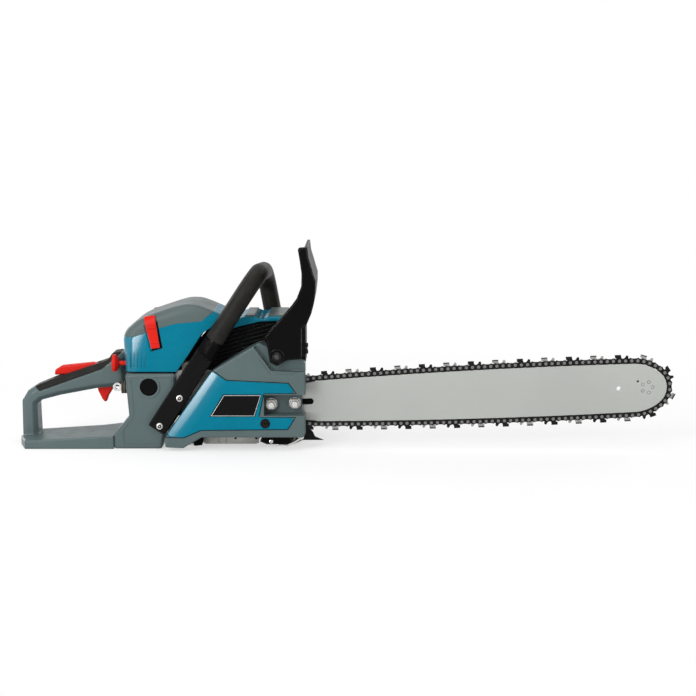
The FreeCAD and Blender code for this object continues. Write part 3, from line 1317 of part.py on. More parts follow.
def rubber_parts():
    """Ribbed rubber blocks between the housings, and the bellows round the linkage rod."""
    rubbers = []
    rear, front = AV_BLOCK_X, AV_BLOCK_X + AV_BLOCK_LENGTH
    low, high = AV_BLOCK_Z, AV_BLOCK_Z + AV_BLOCK_HEIGHT
    body = block(rear, front, AV_BLOCK_NEAR_Y, -INNER_HALF_WIDTH, low, high)
    grooves = []
    for index in range(AV_GROOVES):
        groove_z = low + (index + 1 / 2) * AV_BLOCK_HEIGHT / AV_GROOVES
        grooves.append(block(rear - OVERRUN, front + OVERRUN, AV_BLOCK_NEAR_Y - OVERRUN,
                             AV_BLOCK_NEAR_Y + AV_GROOVE_DEPTH, groove_z, groove_z + AV_GROOVE_DEPTH))
    rubbers.append(body.cut(grooves))
    rubbers.append(block(rear, front, INNER_HALF_WIDTH, INNER_HALF_WIDTH + AV_FAR_BLOCK_WIDTH, low, high))
    start = tank_rear_at(EYE_Z + BELLOWS_RADIUS) - BELLOWS_RIBS * BELLOWS_PITCH
    ribs = [rod_x(BELLOWS_CORE_RADIUS, EYE_Y, EYE_Z, start, tank_rear_at(EYE_Z - BELLOWS_RADIUS) + OVERRUN)]
    for index in range(BELLOWS_RIBS):
        place = start + index * BELLOWS_PITCH
        ribs.append(rod_x(BELLOWS_RADIUS, EYE_Y, EYE_Z, place, place + BELLOWS_RIB_WIDTH))
    tank = slab(tank_points(), TANK_NEAR_Y - OVERRUN, TANK_FAR_Y + OVERRUN, TANK_CORNER)
    for y in (-BUFFER_Y, BUFFER_Y):
        buffer = rod_x(BUFFER_RADIUS, y, BUFFER_Z, CASE_REAR_X - 2 * BUFFER_RADIUS, CASE_REAR_X)
        rubbers.append(buffer.cut(tank))
    rod = rod_x(LINK_ROD_RADIUS, EYE_Y, EYE_Z, EYE_X, tank_rear_at(EYE_Z) + OVERRUN)
    bellows = join(ribs).cut([tank, rod])
    rubbers.append(bellows)
    return Part.makeCompound(rubbers)


# Air filter cover
FILTER_SHARES = ((0.018, 0.0), (0.54, 0.0), (0.66, 0.253), (0.798, 0.569), (0.884, 0.653), (1.0, 0.84),
                 (0.857, 0.93), (0.744, 0.995), (0.617, 1.0), (0.504, 0.955), (0.233, 0.82), (0.12, 0.735),
                 (0.03, 0.62), (0.0, 0.5))
FILTER_OPEN_EDGES = 5
FILTER_SPLIT_SHARES = ((-0.1, 0.52), (0.09, 0.518), (0.233, 0.578), (0.376, 0.656), (0.541, 0.722),
                       (0.797, 0.756), (0.92, 0.9), (1.2, 0.9), (1.2, 1.3), (-0.1, 1.3))
LATCH_SHARES = ((0.218, 0.818), (0.331, 0.844), (0.379, 0.367), (0.295, 0.351))
LATCH_RECESS_SHARES = ((0.2, 0.83), (0.345, 0.86), (0.405, 0.352), (0.285, 0.3))


def in_filter(shares):
    """Points from shares of the filter cover's box."""
    return points_in((FILTER_REAR_X, FILTER_LOW_Z), (FILTER_LENGTH, FILTER_HEIGHT), shares)


def filter_block(wall):
    """Solid under the cover's curved top, drawn in by a wall where the cover is closed."""
    points = in_filter(FILTER_SHARES)
    closed = len(points) - FILTER_OPEN_EDGES
    if wall:
        points = inset(points, [-OVERRUN] * FILTER_OPEN_EDGES + [wall] * closed)
    radii = [0] * (FILTER_OPEN_EDGES + 1) + [FILTER_LENGTH] * (closed - 1)
    y_low, y_high = FILTER_NEAR_Y + wall, FILTER_FAR_Y - wall
    solid = Part.Face(outline(points, y_low, radii)).extrude(Vec(0, y_high - y_low, 0))
    rear, front = points[0], points[FILTER_OPEN_EDGES]
    rims = []
    for edge in solid.Edges:
        middle = edge.valueAt((edge.FirstParameter + edge.LastParameter) / 2)
        ends = [vertex.Point.y for vertex in edge.Vertexes]
        side = (front[0] - rear[0]) * (middle.z - rear[1]) - (front[1] - rear[1]) * (middle.x - rear[0])
        if side > RUNNING_GAP and abs(ends[0] - ends[-1]) < RUNNING_GAP:
            rims.append(edge)
    return solid.makeFillet(FILTER_ROUND - wall, rims)


def filter_shell():
    """Whole cover before it is split by colour."""
    shell = filter_block(0).cut(filter_block(FILTER_WALL))
    notch = block(FILTER_REAR_X - OVERRUN, FILTER_REAR_X + 4 * FILTER_WALL, CHOKE_Y - CHOKE_COLLAR_RADIUS,
                  CHOKE_Y + CHOKE_COLLAR_RADIUS, FILTER_LOW_Z - OVERRUN, CHOKE_Z + CHOKE_COLLAR_RADIUS)
    return shell.cut(notch)


def latch_pockets():
    """Shallow recesses that the latches lie in, on both sides."""
    near = slab(in_filter(LATCH_RECESS_SHARES), FILTER_NEAR_Y - OVERRUN, FILTER_NEAR_Y + LATCH_RECESS)
    far = slab(in_filter(LATCH_RECESS_SHARES), FILTER_FAR_Y - LATCH_RECESS, FILTER_FAR_Y + OVERRUN)
    return [near, far]


def filter_cover_parts():
    """Coloured side part and pale top part of the filter cover."""
    shell = filter_shell().cut(latch_pockets())
    split = slab(in_filter(FILTER_SPLIT_SHARES), FILTER_NEAR_Y - OVERRUN, FILTER_FAR_Y + OVERRUN)
    return shell.cut(split), shell.common(split)


def latch(side):
    """Clip over the filter cover's shoulder, hinged at its upper end."""
    points = in_filter(LATCH_SHARES)
    span = (FILTER_NEAR_Y - OVERRUN - LATCH_THICKNESS, FILTER_NEAR_Y + LATCH_OVER_TOP)
    if side > 0:
        span = (FILTER_FAR_Y - LATCH_OVER_TOP, FILTER_FAR_Y + OVERRUN + LATCH_THICKNESS)
    strip = slab(points, span[0], span[1], LATCH_THICKNESS / 2)
    return strip.common(filter_block(-FREE_GAP - LATCH_THICKNESS)).cut(filter_block(-FREE_GAP))


def inner_housing():
    """Dark inner box between tank and cylinder, with the base plate under the filter."""
    rear, front = INNER_REAR_X, INNER_FRONT_X
    outer = block(rear, front, -INNER_HALF_WIDTH, INNER_HALF_WIDTH, BASE_PLATE_Z, INNER_HIGH_Z)
    room_half = INNER_HALF_WIDTH - INNER_WALL
    inner = block(rear - OVERRUN, front - INNER_WALL, -room_half, room_half,
                  BASE_PLATE_Z + INNER_WALL, INNER_HIGH_Z + OVERRUN)
    plate = block(BASE_REAR_X, rear, -ELEMENT_HALF_WIDTH - INNER_WALL, ELEMENT_HALF_WIDTH + INNER_WALL,
                  BASE_PLATE_Z, BASE_PLATE_Z + BASE_PLATE_THICKNESS)
    foot_rear = CASE_REAR_X + CASE_LENGTH / 4
    feet = [block(foot_rear, front, y - INNER_WALL, y + INNER_WALL, DECK_HEIGHT, BASE_PLATE_Z)
            for y in (CASE_NEAR_Y + 2 * INNER_WALL, CASE_FAR_Y - 2 * INNER_WALL)]
    pads = [block(rear - AV_BLOCK_LENGTH, rear, y - INNER_WALL, y + INNER_WALL, TANK_HEIGHT, BASE_PLATE_Z)
            for y in (CASE_NEAR_Y, CASE_FAR_Y)]
    guide = block(BASE_REAR_X, BASE_REAR_X + CHOKE_GUIDE_LENGTH, CHOKE_Y - CHOKE_COLLAR_RADIUS,
                  CHOKE_Y + CHOKE_COLLAR_RADIUS, BASE_PLATE_Z, CHOKE_Z + CHOKE_COLLAR_RADIUS)
    guide = guide.cut(choke_stem(CHOKE_STEM_RADIUS + RUNNING_GAP))
    shell = join([outer.cut(inner), plate, guide] + feet + pads)
    window = rod_x(BOOT_RADIUS + SEAT_GAP, 0, PORT_HEIGHT, front - 2 * INNER_WALL, front + OVERRUN)
    slope = [(rear - OVERRUN, BASE_PLATE_Z + 3 * INNER_WALL), (rear - OVERRUN, INNER_HIGH_Z + OVERRUN),
             (front - 3 * INNER_WALL, INNER_HIGH_Z + OVERRUN)]
    return shell.cut([window, slab(slope, -INNER_HALF_WIDTH - OVERRUN, INNER_HALF_WIDTH + OVERRUN)])


def air_filter():
    """Pleated filter box on the base plate."""
    low = BASE_PLATE_Z + BASE_PLATE_THICKNESS
    half = ELEMENT_HALF_WIDTH
    body = block(ELEMENT_REAR_X, ELEMENT_FRONT_X, -half, half, low, ELEMENT_HIGH_Z)
    grooves = []
    for index in range(1, PLEATS):
        y = -ELEMENT_HALF_WIDTH + 2 * ELEMENT_HALF_WIDTH * index / PLEATS
        grooves.append(block(ELEMENT_REAR_X - OVERRUN, ELEMENT_REAR_X + INNER_WALL, y - FIN_THICKNESS / 2,
                             y + FIN_THICKNESS / 2, low + INNER_WALL, ELEMENT_HIGH_Z + OVERRUN))
    return body.cut(grooves)


def carburettor():
    """Carburettor body between the filter and the boot."""
    body = block(CARB_REAR_X, CARB_FRONT_X, -CARB_HALF_WIDTH, CARB_HALF_WIDTH,
                 PORT_HEIGHT - CARB_HALF_HEIGHT + OVERRUN, PORT_HEIGHT + CARB_HALF_HEIGHT)
    neck = rod_x(BOOT_RADIUS - 2 * OVERRUN, 0, PORT_HEIGHT, ELEMENT_FRONT_X, CARB_REAR_X)
    throat = rod_x(CARB_THROAT_RADIUS, 0, PORT_HEIGHT, ELEMENT_FRONT_X - OVERRUN, CARB_FRONT_X + OVERRUN)
    return join([body, neck]).cut(throat)


def intake_boot():
    """Ribbed rubber boot between carburettor and cylinder."""
    end = -FIN_HALF_LENGTH
    parts = [rod_x(BOOT_RADIUS, 0, PORT_HEIGHT, CARB_FRONT_X, end)]
    for index in range(BELLOWS_RIBS):
        place = CARB_FRONT_X + (index + 1) * BELLOWS_PITCH
        parts.append(rod_x(BOOT_RIB_RADIUS, 0, PORT_HEIGHT, place, place + BELLOWS_RIB_WIDTH))
    return join(parts).cut(rod_x(CARB_THROAT_RADIUS, 0, PORT_HEIGHT, CARB_FRONT_X - OVERRUN, end + OVERRUN))


# Engine
CASE_SHARES = ((0.0, 0.06), (0.0, 0.62), (0.16, 1.0), (0.93, 1.0), (1.0, 0.9), (1.0, 0.24), (1.03, 0.2),
               (1.03, 0.06), (0.95, 0.0), (0.86, 0.0), (0.82, 0.1), (0.66, 0.1), (0.64, 0.0), (0.19, 0.0),
               (0.17, 0.06))


def case_points():
    """Outline of the crankcase."""
    return points_in((CASE_REAR_X, 0), (CASE_LENGTH, DECK_HEIGHT), CASE_SHARES)


def crankcase():
    """Cast case with crank chamber, bearing seats, oil tank, bar pad and feet."""
    body = slab(case_points(), CASE_NEAR_Y, CASE_FAR_Y, CASE_WALL)
    parts = [body, bar_pad(0)]
    bumper_face = BUMPER_NEAR_Y + BUMPER_THICKNESS
    parts += [rod_y(SCREW_HEAD_RADIUS, x, z, bumper_face, CASE_NEAR_Y + CASE_WALL) for x, z in BUMPER_SCREWS]
    parts.append(rod_y(HANDLE_SEAT_RADIUS, HANDLE_FAR_LOW_X, HANDLE_FAR_LOW_Z,
                       CASE_FAR_Y - CASE_WALL, HANDLE_SEAT_Y))
    neck_end = CASE_FAR_Y + NECK_WALL
    parts.append(rod_y(OIL_NECK_RADIUS + NECK_WALL, OIL_NECK_X, OIL_NECK_Z, CASE_FAR_Y - CASE_WALL, neck_end))
    case = join(parts)
    cuts = [rod_y(CHAMBER_RADIUS, 0, CRANK_HEIGHT, -CHAMBER_HALF_WIDTH, CHAMBER_HALF_WIDTH)]
    cuts.append(rod_z(BORE_RADIUS + CASE_WALL / 2, 0, 0, CRANK_HEIGHT, DECK_HEIGHT + OVERRUN))
    seat_end = CHAMBER_HALF_WIDTH + BEARING_WIDTH
    cuts.append(rod_y(BEARING_RADIUS, 0, CRANK_HEIGHT, -seat_end, seat_end))
    cuts.append(rod_y(JOURNAL_RADIUS + FREE_GAP, 0, CRANK_HEIGHT,
                      CASE_NEAR_Y - OVERRUN, CASE_FAR_Y + OVERRUN))
    tank = in_case(((0.72, 0.18), (0.92, 0.18), (0.92, 0.94), (0.72, 0.94)))
    cuts.append(slab(tank, CASE_NEAR_Y + CASE_WALL, CASE_FAR_Y - CASE_WALL, CASE_WALL))
    cuts.append(rod_y(OIL_NECK_RADIUS, OIL_NECK_X, OIL_NECK_Z,
                      CASE_FAR_Y - 2 * CASE_WALL, neck_end + OVERRUN))
    cuts += [rod_y(SCREW_RADIUS, x, z, bumper_face - OVERRUN, BUMPER_NEAR_Y + SCREW_LENGTH)
             for x, z in BUMPER_SCREWS]
    rear_pocket = in_case(((0.04, 0.12), (0.29, 0.12), (0.29, 0.86), (0.16, 0.86), (0.04, 0.58)))
    cuts.append(slab(rear_pocket, CASE_NEAR_Y + CASE_WALL, CASE_FAR_Y + OVERRUN, CASE_WALL))
    return case.cut(cuts)


def in_case(shares):
    """Points from shares of the crankcase's box."""
    return points_in((CASE_REAR_X, 0), (CASE_LENGTH, DECK_HEIGHT), shares)


def cylinder():
    """Finned barrel with head, ports and a seat for the plug."""
    top_dead = CRANK_HEIGHT + CRANK_THROW + ROD_LENGTH + PISTON_TOP_ABOVE_PIN
    parts = [rod_z(BARREL_RADIUS, 0, 0, DECK_HEIGHT, HEAD_HEIGHT)]
    for index in range(FIN_COUNT):
        z = FIRST_FIN_HEIGHT + index * FIN_PITCH
        parts.append(block(-FIN_HALF_LENGTH, FIN_HALF_LENGTH, -FIN_HALF_WIDTH, FIN_HALF_WIDTH,
                           z, z + FIN_THICKNESS))
    parts.append(rod_x(PORT_FLANGE_RADIUS, 0, PORT_HEIGHT, 0, MUFFLER_REAR_X))
    parts.append(rod_x(PORT_FLANGE_RADIUS, 0, PORT_HEIGHT, -FIN_HALF_LENGTH, 0))
    body = join(parts)
    bore = rod_z(BORE_RADIUS, 0, 0, DECK_HEIGHT - OVERRUN, top_dead + HEAD_CLEARANCE)
    port = rod_x(PORT_RADIUS, 0, PORT_HEIGHT, -FIN_HALF_LENGTH - OVERRUN, MUFFLER_REAR_X + OVERRUN)
    seat = rod_z(PLUG_THREAD_RADIUS, 0, 0, top_dead, HEAD_HEIGHT + OVERRUN)
    return body.cut([bore, port, seat])


def spark_plug():
    """Plug with thread, hexagon and insulator."""
    top_dead = CRANK_HEIGHT + CRANK_THROW + ROD_LENGTH + PISTON_TOP_ABOVE_PIN
    hexagon = hexagon_y(PLUG_HEX_WIDTH, 0, 0, 0, PLUG_HEX_HEIGHT)
    hexagon.rotate(Vec(0, 0, 0), Vec(1, 0, 0), 90)
    hexagon.translate(Vec(0, 0, HEAD_HEIGHT))
    thread = rod_z(PLUG_THREAD_RADIUS, 0, 0, top_dead + HEAD_CLEARANCE, HEAD_HEIGHT)
    insulator = rod_z(PLUG_INSULATOR_RADIUS, 0, 0, HEAD_HEIGHT + PLUG_HEX_HEIGHT, PLUG_TOP_HEIGHT)
    return join([hexagon, thread, insulator])


def crankshaft():
    """Two shaft halves with full webs; the crankpin's seat between them is left open."""
    halves = []
    for side, end in ((-1, CRANK_END_Y), (1, CRANK_FAR_END_Y)):
        web = sorted((side * WEB_INNER_Y, side * (WEB_INNER_Y + WEB_THICKNESS)))
        journal = sorted((side * (WEB_INNER_Y + WEB_THICKNESS), side * (CHAMBER_HALF_WIDTH + BEARING_WIDTH)))
        stub = sorted((side * (CHAMBER_HALF_WIDTH + BEARING_WIDTH), end))
        parts = [rod_y(WEB_RADIUS, 0, CRANK_HEIGHT, *web),
                 rod_y(JOURNAL_RADIUS - RUNNING_GAP, 0, CRANK_HEIGHT, *journal),
                 rod_y(CLUTCH_SHAFT_RADIUS, 0, CRANK_HEIGHT, *stub)]
        halves.append(join(parts))
    return Part.makeCompound(halves)


def crank_bearings():
    """Two ball bearings as plain rings in the case."""
    rings = []
    for side in (-1, 1):
        span = sorted((side * CHAMBER_HALF_WIDTH, side * (CHAMBER_HALF_WIDTH + BEARING_WIDTH)))
        rings.append(ring_y(BEARING_RADIUS - RUNNING_GAP, JOURNAL_RADIUS, 0, CRANK_HEIGHT, *span))
    return Part.makeCompound(rings)


def rod_height():
    """Height of the crankpin at top dead centre."""
    return CRANK_HEIGHT + CRANK_THROW


def wrist_height():
    """Height of the wrist pin at top dead centre."""
    return rod_height() + ROD_LENGTH


def connecting_rod():
    """Rod with both eyes, and the crankpin pressed into the big one."""
    half = ROD_WIDTH / 2
    big = rod_y(BIG_END_RADIUS, 0, rod_height(), -half, half)
    small = rod_y(SMALL_END_RADIUS, 0, wrist_height(), -half, half)
    wide, thick = ROD_SHANK_WIDTH / 2, ROD_SHANK_THICKNESS / 2
    shank = block(-wide, wide, -thick, thick, rod_height(), wrist_height())
    eye = rod_y(WRIST_PIN_RADIUS + RUNNING_GAP, 0, wrist_height(), -half - OVERRUN, half + OVERRUN)
    return join([big, small, shank]).cut(eye)


def piston():
    """Piston with ring grooves and pin bosses."""
    top = wrist_height() + PISTON_TOP_ABOVE_PIN
    low = wrist_height() - PISTON_SKIRT_BELOW_PIN
    outer = BORE_RADIUS - PISTON_GAP
    body = rod_z(outer, 0, 0, low, top)
    body = body.cut(rod_z(outer - PISTON_WALL, 0, 0, low - OVERRUN, top - 2 * PISTON_WALL))
    bosses = []
    inner = ROD_WIDTH / 2 + FREE_GAP
    for side in (-1, 1):
        span = sorted((side * inner, side * (outer - PISTON_WALL / 2)))
        bosses.append(rod_y(SMALL_END_RADIUS, 0, wrist_height(), *span))
    body = join([body] + bosses)
    cuts = [rod_y(WRIST_PIN_RADIUS + RUNNING_GAP, 0, wrist_height(), -BORE_RADIUS, BORE_RADIUS)]
    for drop in RING_DROPS:
        groove = rod_z(outer + OVERRUN, 0, 0, top - drop - RING_HEIGHT, top - drop)
        cuts.append(groove.cut(rod_z(outer - RING_DEPTH, 0, 0, low, top)))
    return body.common(rod_z(outer, 0, 0, low, top)).cut(cuts)


def piston_rings():
    """Two rings in the piston's grooves."""
    top = wrist_height() + PISTON_TOP_ABOVE_PIN
    rings = []
    for drop in RING_DROPS:
        outer = rod_z(BORE_RADIUS - RING_GAP, 0, 0, top - drop - RING_HEIGHT, top - drop)
        rings.append(outer.cut(rod_z(BORE_RADIUS - PISTON_GAP - RING_DEPTH, 0, 0, DECK_HEIGHT, top)))
    return Part.makeCompound(rings)


def wrist_pin():
    """Pin between piston and rod."""
    return rod_y(WRIST_PIN_RADIUS, 0, wrist_height(), -WRIST_PIN_LENGTH / 2, WRIST_PIN_LENGTH / 2)


def clutch_drum():
    """Drum with its sprocket, free to turn on the crankshaft."""
    sprocket_low = BAR_PLANE - SPROCKET_WIDTH / 2
    sprocket_high = BAR_PLANE + SPROCKET_WIDTH / 2
    teeth = toothed(SPROCKET_RADIUS, SPROCKET_ROOT_RADIUS, DRIVE_TEETH, 0, CRANK_HEIGHT,
                    sprocket_low, sprocket_high)
    hub = rod_y(DRUM_HUB_RADIUS, 0, CRANK_HEIGHT, DRUM_FLOOR_Y, sprocket_low)
    inner_floor = DRUM_FLOOR_Y - DRUM_FLOOR_THICKNESS
    floor = rod_y(DRUM_RADIUS, 0, CRANK_HEIGHT, inner_floor, DRUM_FLOOR_Y)
    wall = ring_y(DRUM_RADIUS, DRUM_RADIUS - DRUM_WALL, 0, CRANK_HEIGHT, DRUM_OPEN_Y, inner_floor)
    drum = join([teeth, hub, floor, wall])
    return drum.cut(rod_y(CLUTCH_SHAFT_RADIUS + RUNNING_GAP, 0, CRANK_HEIGHT, DRUM_OPEN_Y, CASE_NEAR_Y))


def clutch_shoes():
    """Three shoes that swing out against the drum."""
    outer = DRUM_RADIUS - DRUM_WALL - SHOE_GAP
    ring = ring_y(outer, outer - SHOE_RING_WIDTH, 0, CRANK_HEIGHT, SHOE_NEAR_Y, SHOE_FAR_Y)
    gaps = []
    for index in range(SHOE_COUNT):
        gap = block(0, DRUM_RADIUS, SHOE_NEAR_Y - OVERRUN, SHOE_FAR_Y + OVERRUN,
                    -SHOE_SPLIT / 2, SHOE_SPLIT / 2)
        gap.rotate(Vec(0, 0, 0), Vec(0, 1, 0), 360 / SHOE_COUNT * index)
        gap.translate(Vec(0, 0, CRANK_HEIGHT))
        gaps.append(gap)
    return Part.makeCompound(ring.cut(gaps).Solids)


def clutch_hub():
    """Hub with three arms that carry the shoes."""
    outer = DRUM_RADIUS - DRUM_WALL - SHOE_GAP
    inner = outer - SHOE_RING_WIDTH
    hub = rod_y(inner, 0, CRANK_HEIGHT, SHOE_NEAR_Y + OVERRUN, SHOE_FAR_Y - OVERRUN)
    return hub.cut(rod_y(CLUTCH_SHAFT_RADIUS, 0, CRANK_HEIGHT, CRANK_END_Y, SHOE_FAR_Y))


def brake_band():
    """Steel band round the drum, open towards the bar, with an anchor to the cover."""
    inner = DRUM_RADIUS + BAND_GAP
    middle = (DRUM_OPEN_Y + DRUM_FLOOR_Y) / 2
    low, high = middle - BAND_WIDTH / 2, middle + BAND_WIDTH / 2
    band = ring_y(inner + BAND_THICKNESS, inner, 0, CRANK_HEIGHT, low, high)
    band = band.cut(block(BAND_OPEN_X, DRUM_RADIUS * 2, low - OVERRUN, high + OVERRUN, 0, 2 * CRANK_HEIGHT))
    anchor_z = CRANK_HEIGHT + inner
    anchor = block(-BAND_WIDTH / 2, BAND_WIDTH / 2, COVER_NEAR_Y + COVER_WALL, high,
                   anchor_z + BAND_THICKNESS / 2, anchor_z + BAND_THICKNESS / 2 + COVER_WALL)
    return join([band, anchor])


def oil_pump():
    """Pump body round the shaft behind the sprocket."""
    body = rod_y(PUMP_RADIUS, 0, CRANK_HEIGHT, PUMP_NEAR_Y, CASE_NEAR_Y)
    return body.cut(rod_y(CLUTCH_SHAFT_RADIUS + FREE_GAP, 0, CRANK_HEIGHT,
                          PUMP_NEAR_Y - OVERRUN, CASE_NEAR_Y + OVERRUN))


# Cylinder cover, grille and muffler
TOP_SHARES = ((0.0, 0.0), (0.1, 0.7), (0.27, 1.0), (0.4, 1.0), (0.46, 0.88), (0.53, 0.88), (0.58, 1.0),
              (0.82, 1.0), (1.0, 0.66), (1.0, 0.4), (0.67, 0.685), (0.46, 0.635), (0.18, 0.3))
TOP_OPEN_EDGES = 4
CAP_SHARES = (((0.27, 1.0), (0.4, 1.0)), ((0.58, 1.0), (0.82, 1.0)))
GRILLE_SHARES = ((0.0, 0.08), (0.06, 0.7), (0.32, 0.92), (0.62, 1.0), (1.0, 1.0), (1.0, 0.42), (0.64, 0.66),
                 (0.47, 0.5), (0.04, 0.0))


def cylinder_cover():
    """Cap over the cylinder, hollow and open below, on three posts."""
    points = points_in((TOP_REAR_X, TOP_LOW_Z), (TOP_LENGTH, TOP_HEIGHT), TOP_SHARES)
    body = bevelled(points, -TOP_HALF_WIDTH, TOP_HALF_WIDTH, TOP_BEVEL / 2, TOP_BEVEL / 2)
    closed = len(points) - TOP_OPEN_EDGES
    room = slab(inset(points, [TOP_WALL] * closed + [-OVERRUN] * TOP_OPEN_EDGES),
                -TOP_HALF_WIDTH + TOP_WALL, TOP_HALF_WIDTH - TOP_WALL)
    parts = [body.cut(room)]
    for x, y in ((TOP_POST_CIRCLE, 0), (0, -TOP_POST_CIRCLE), (0, TOP_POST_CIRCLE)):
        parts.append(rod_z(TOP_POST_RADIUS, x, y, HEAD_HEIGHT, TOP_LOW_Z + TOP_HEIGHT * TOP_POST_SHARE))
    parts.append(rod_y(GUARD_BOLT_HEAD_RADIUS, GUARD_PIVOT_X, GUARD_PIVOT_Z, TOP_HALF_WIDTH - TOP_WALL,
                       GUARD_FAR_Y - GUARD_FAR_ARM_THICKNESS - FREE_GAP))
    inner_face = TOP_HALF_WIDTH - TOP_WALL
    parts.append(rod_y(GUARD_BOLT_RADIUS, GUARD_PIVOT_X, GUARD_PIVOT_Z, inner_face, GUARD_FAR_Y))
    lug_top = TOP_LOW_Z + TOP_HEIGHT * TOP_LUG_SHARE
    parts.append(block(GUARD_PIVOT_X - GUARD_BOLT_HEAD_RADIUS, GUARD_PIVOT_X + GUARD_BOLT_HEAD_RADIUS,
                       inner_face, TOP_HALF_WIDTH, GUARD_PIVOT_Z, lug_top))
    return join(parts)


def cover_caps():
    """Two pale pads on top of the cylinder cover."""
    pads = []
    for low, high in CAP_SHARES:
        x_low, x_high = TOP_REAR_X + low[0] * TOP_LENGTH, TOP_REAR_X + high[0] * TOP_LENGTH
        z = TOP_LOW_Z + TOP_HEIGHT
        half = TOP_HALF_WIDTH - TOP_BEVEL
        pads.append(block(x_low, x_high, -half, half, z, z + TOP_CAP_THICKNESS))
    return Part.makeCompound(pads)


def side_grille():
    """Dark grille beside the cylinder, with slanted ribs."""
    points = points_in((GRILLE_REAR_X, GRILLE_LOW_Z), (GRILLE_LENGTH, GRILLE_HEIGHT), GRILLE_SHARES)
    ground = GRILLE_NEAR_Y + GRILLE_RIB_DEPTH
    far = ground + GRILLE_BASE_THICKNESS
    base = slab(points, ground, far)
    area = slab(points, GRILLE_NEAR_Y - OVERRUN, ground + OVERRUN)
    ribs = []
    for index in range(GRILLE_RIB_COUNT):
        rib = block(0, GRILLE_LENGTH + GRILLE_RIB_PITCH, GRILLE_NEAR_Y, ground, 0, GRILLE_RIB_WIDTH)
        rib.rotate(Vec(0, 0, 0), Vec(0, 1, 0), -GRILLE_RIB_ANGLE)
        rib.translate(Vec(GRILLE_REAR_X - OVERRUN, 0, GRILLE_LOW_Z + (index - 1) * GRILLE_RIB_PITCH))
        ribs.append(rib.common(area))
    posts = [rod_y(GRILLE_POST_RADIUS, x, z, far, -FIN_HALF_WIDTH) for x, z in GRILLE_POSTS]
    return join([base] + ribs + posts)


def muffler():
    """Hollow muffler box with a thick front shield."""
    rear, front = MUFFLER_REAR_X, MUFFLER_REAR_X + MUFFLER_LENGTH
    sides = [(rear, MUFFLER_LOW_Z), (front, MUFFLER_LOW_Z), (front, MUFFLER_HIGH_Z), (rear, MUFFLER_HIGH_Z)]
    outer = bevelled(sides, -MUFFLER_HALF_WIDTH, MUFFLER_HALF_WIDTH, OVERRUN, OVERRUN, MUFFLER_CORNER)
    room_half = MUFFLER_HALF_WIDTH - 2 * MUFFLER_WALL
    shell = outer.cut(slab(inset(sides, MUFFLER_WALL), -room_half, room_half))
    shield = block(front, front + SHIELD_THICKNESS, -SHIELD_HALF_WIDTH, SHIELD_HALF_WIDTH,
                   SHIELD_LOW_Z, SHIELD_HIGH_Z)
    port = rod_x(PORT_RADIUS, 0, PORT_HEIGHT, rear - OVERRUN, rear + OVERRUN)
    outlet = block(front - OVERRUN, front + SHIELD_THICKNESS + OVERRUN, OUTLET_LOW_Y, OUTLET_HIGH_Y,
                   PORT_HEIGHT, PORT_HEIGHT + PORT_RADIUS)
    return join([shell, shield]).cut([port, outlet])


BUMPER_SHARES = ((0.0, 0.1), (0.0, 0.95), (0.25, 1.0), (0.95, 0.93), (0.5, 0.84), (0.5, 0.72),
                 (0.95, 0.63), (0.5, 0.55), (0.5, 0.42), (0.95, 0.34), (0.5, 0.26), (0.52, 0.19),
                 (0.66, 0.13), (0.74, 0.05), (1.0, 0.0), (0.2, 0.0))
CATCHER_SHARES = ((0.0, 0.3), (0.1, 1.0), (0.9, 1.0), (1.0, 0.5), (0.8, 0.0), (0.2, 0.0))


def spiked_bumper():
    """Toothed plate at the front of the case."""
    points = points_in((BUMPER_REAR_X, BUMPER_LOW_Z), (BUMPER_LENGTH, BUMPER_HEIGHT), BUMPER_SHARES)
    plate = slab(points, BUMPER_NEAR_Y, BUMPER_NEAR_Y + BUMPER_THICKNESS)
    holes = [rod_y(SCREW_RADIUS, x, z, BUMPER_NEAR_Y - OVERRUN, BUMPER_NEAR_Y + BUMPER_THICKNESS + OVERRUN)
             for x, z in BUMPER_SCREWS]
    return plate.cut(holes + [bar_pad(FREE_GAP)])


def chain_catcher():
    """Block under the case that stops a broken chain."""
    points = points_in((CATCHER_REAR_X, CATCHER_LOW_Z), (CATCHER_LENGTH, CATCHER_HEIGHT), CATCHER_SHARES)
    return bevelled(points, CATCHER_NEAR_Y, CASE_NEAR_Y, GUARD_BEVEL)


def fasteners():
    """Bracket screws, bumper screws, muffler bolts, the guard's pivot bolt and the controls' pins."""
    shapes = [screw_y(x, z, BRACKET_NEAR_Y) for x, z in BRACKET_SCREWS]
    shapes += [screw_y(x, z, BUMPER_NEAR_Y) for x, z in BUMPER_SCREWS]
    front = MUFFLER_REAR_X + MUFFLER_LENGTH + SHIELD_THICKNESS
    shapes += [rod_x(MUFFLER_BOLT_RADIUS, MUFFLER_BOLT_Y, z, front, front + SCREW_HEAD_HEIGHT)
               for z in MUFFLER_BOLT_HEIGHTS]
    shapes.append(guard_bolt())
    shapes += control_pins()
    return Part.makeCompound(shapes)


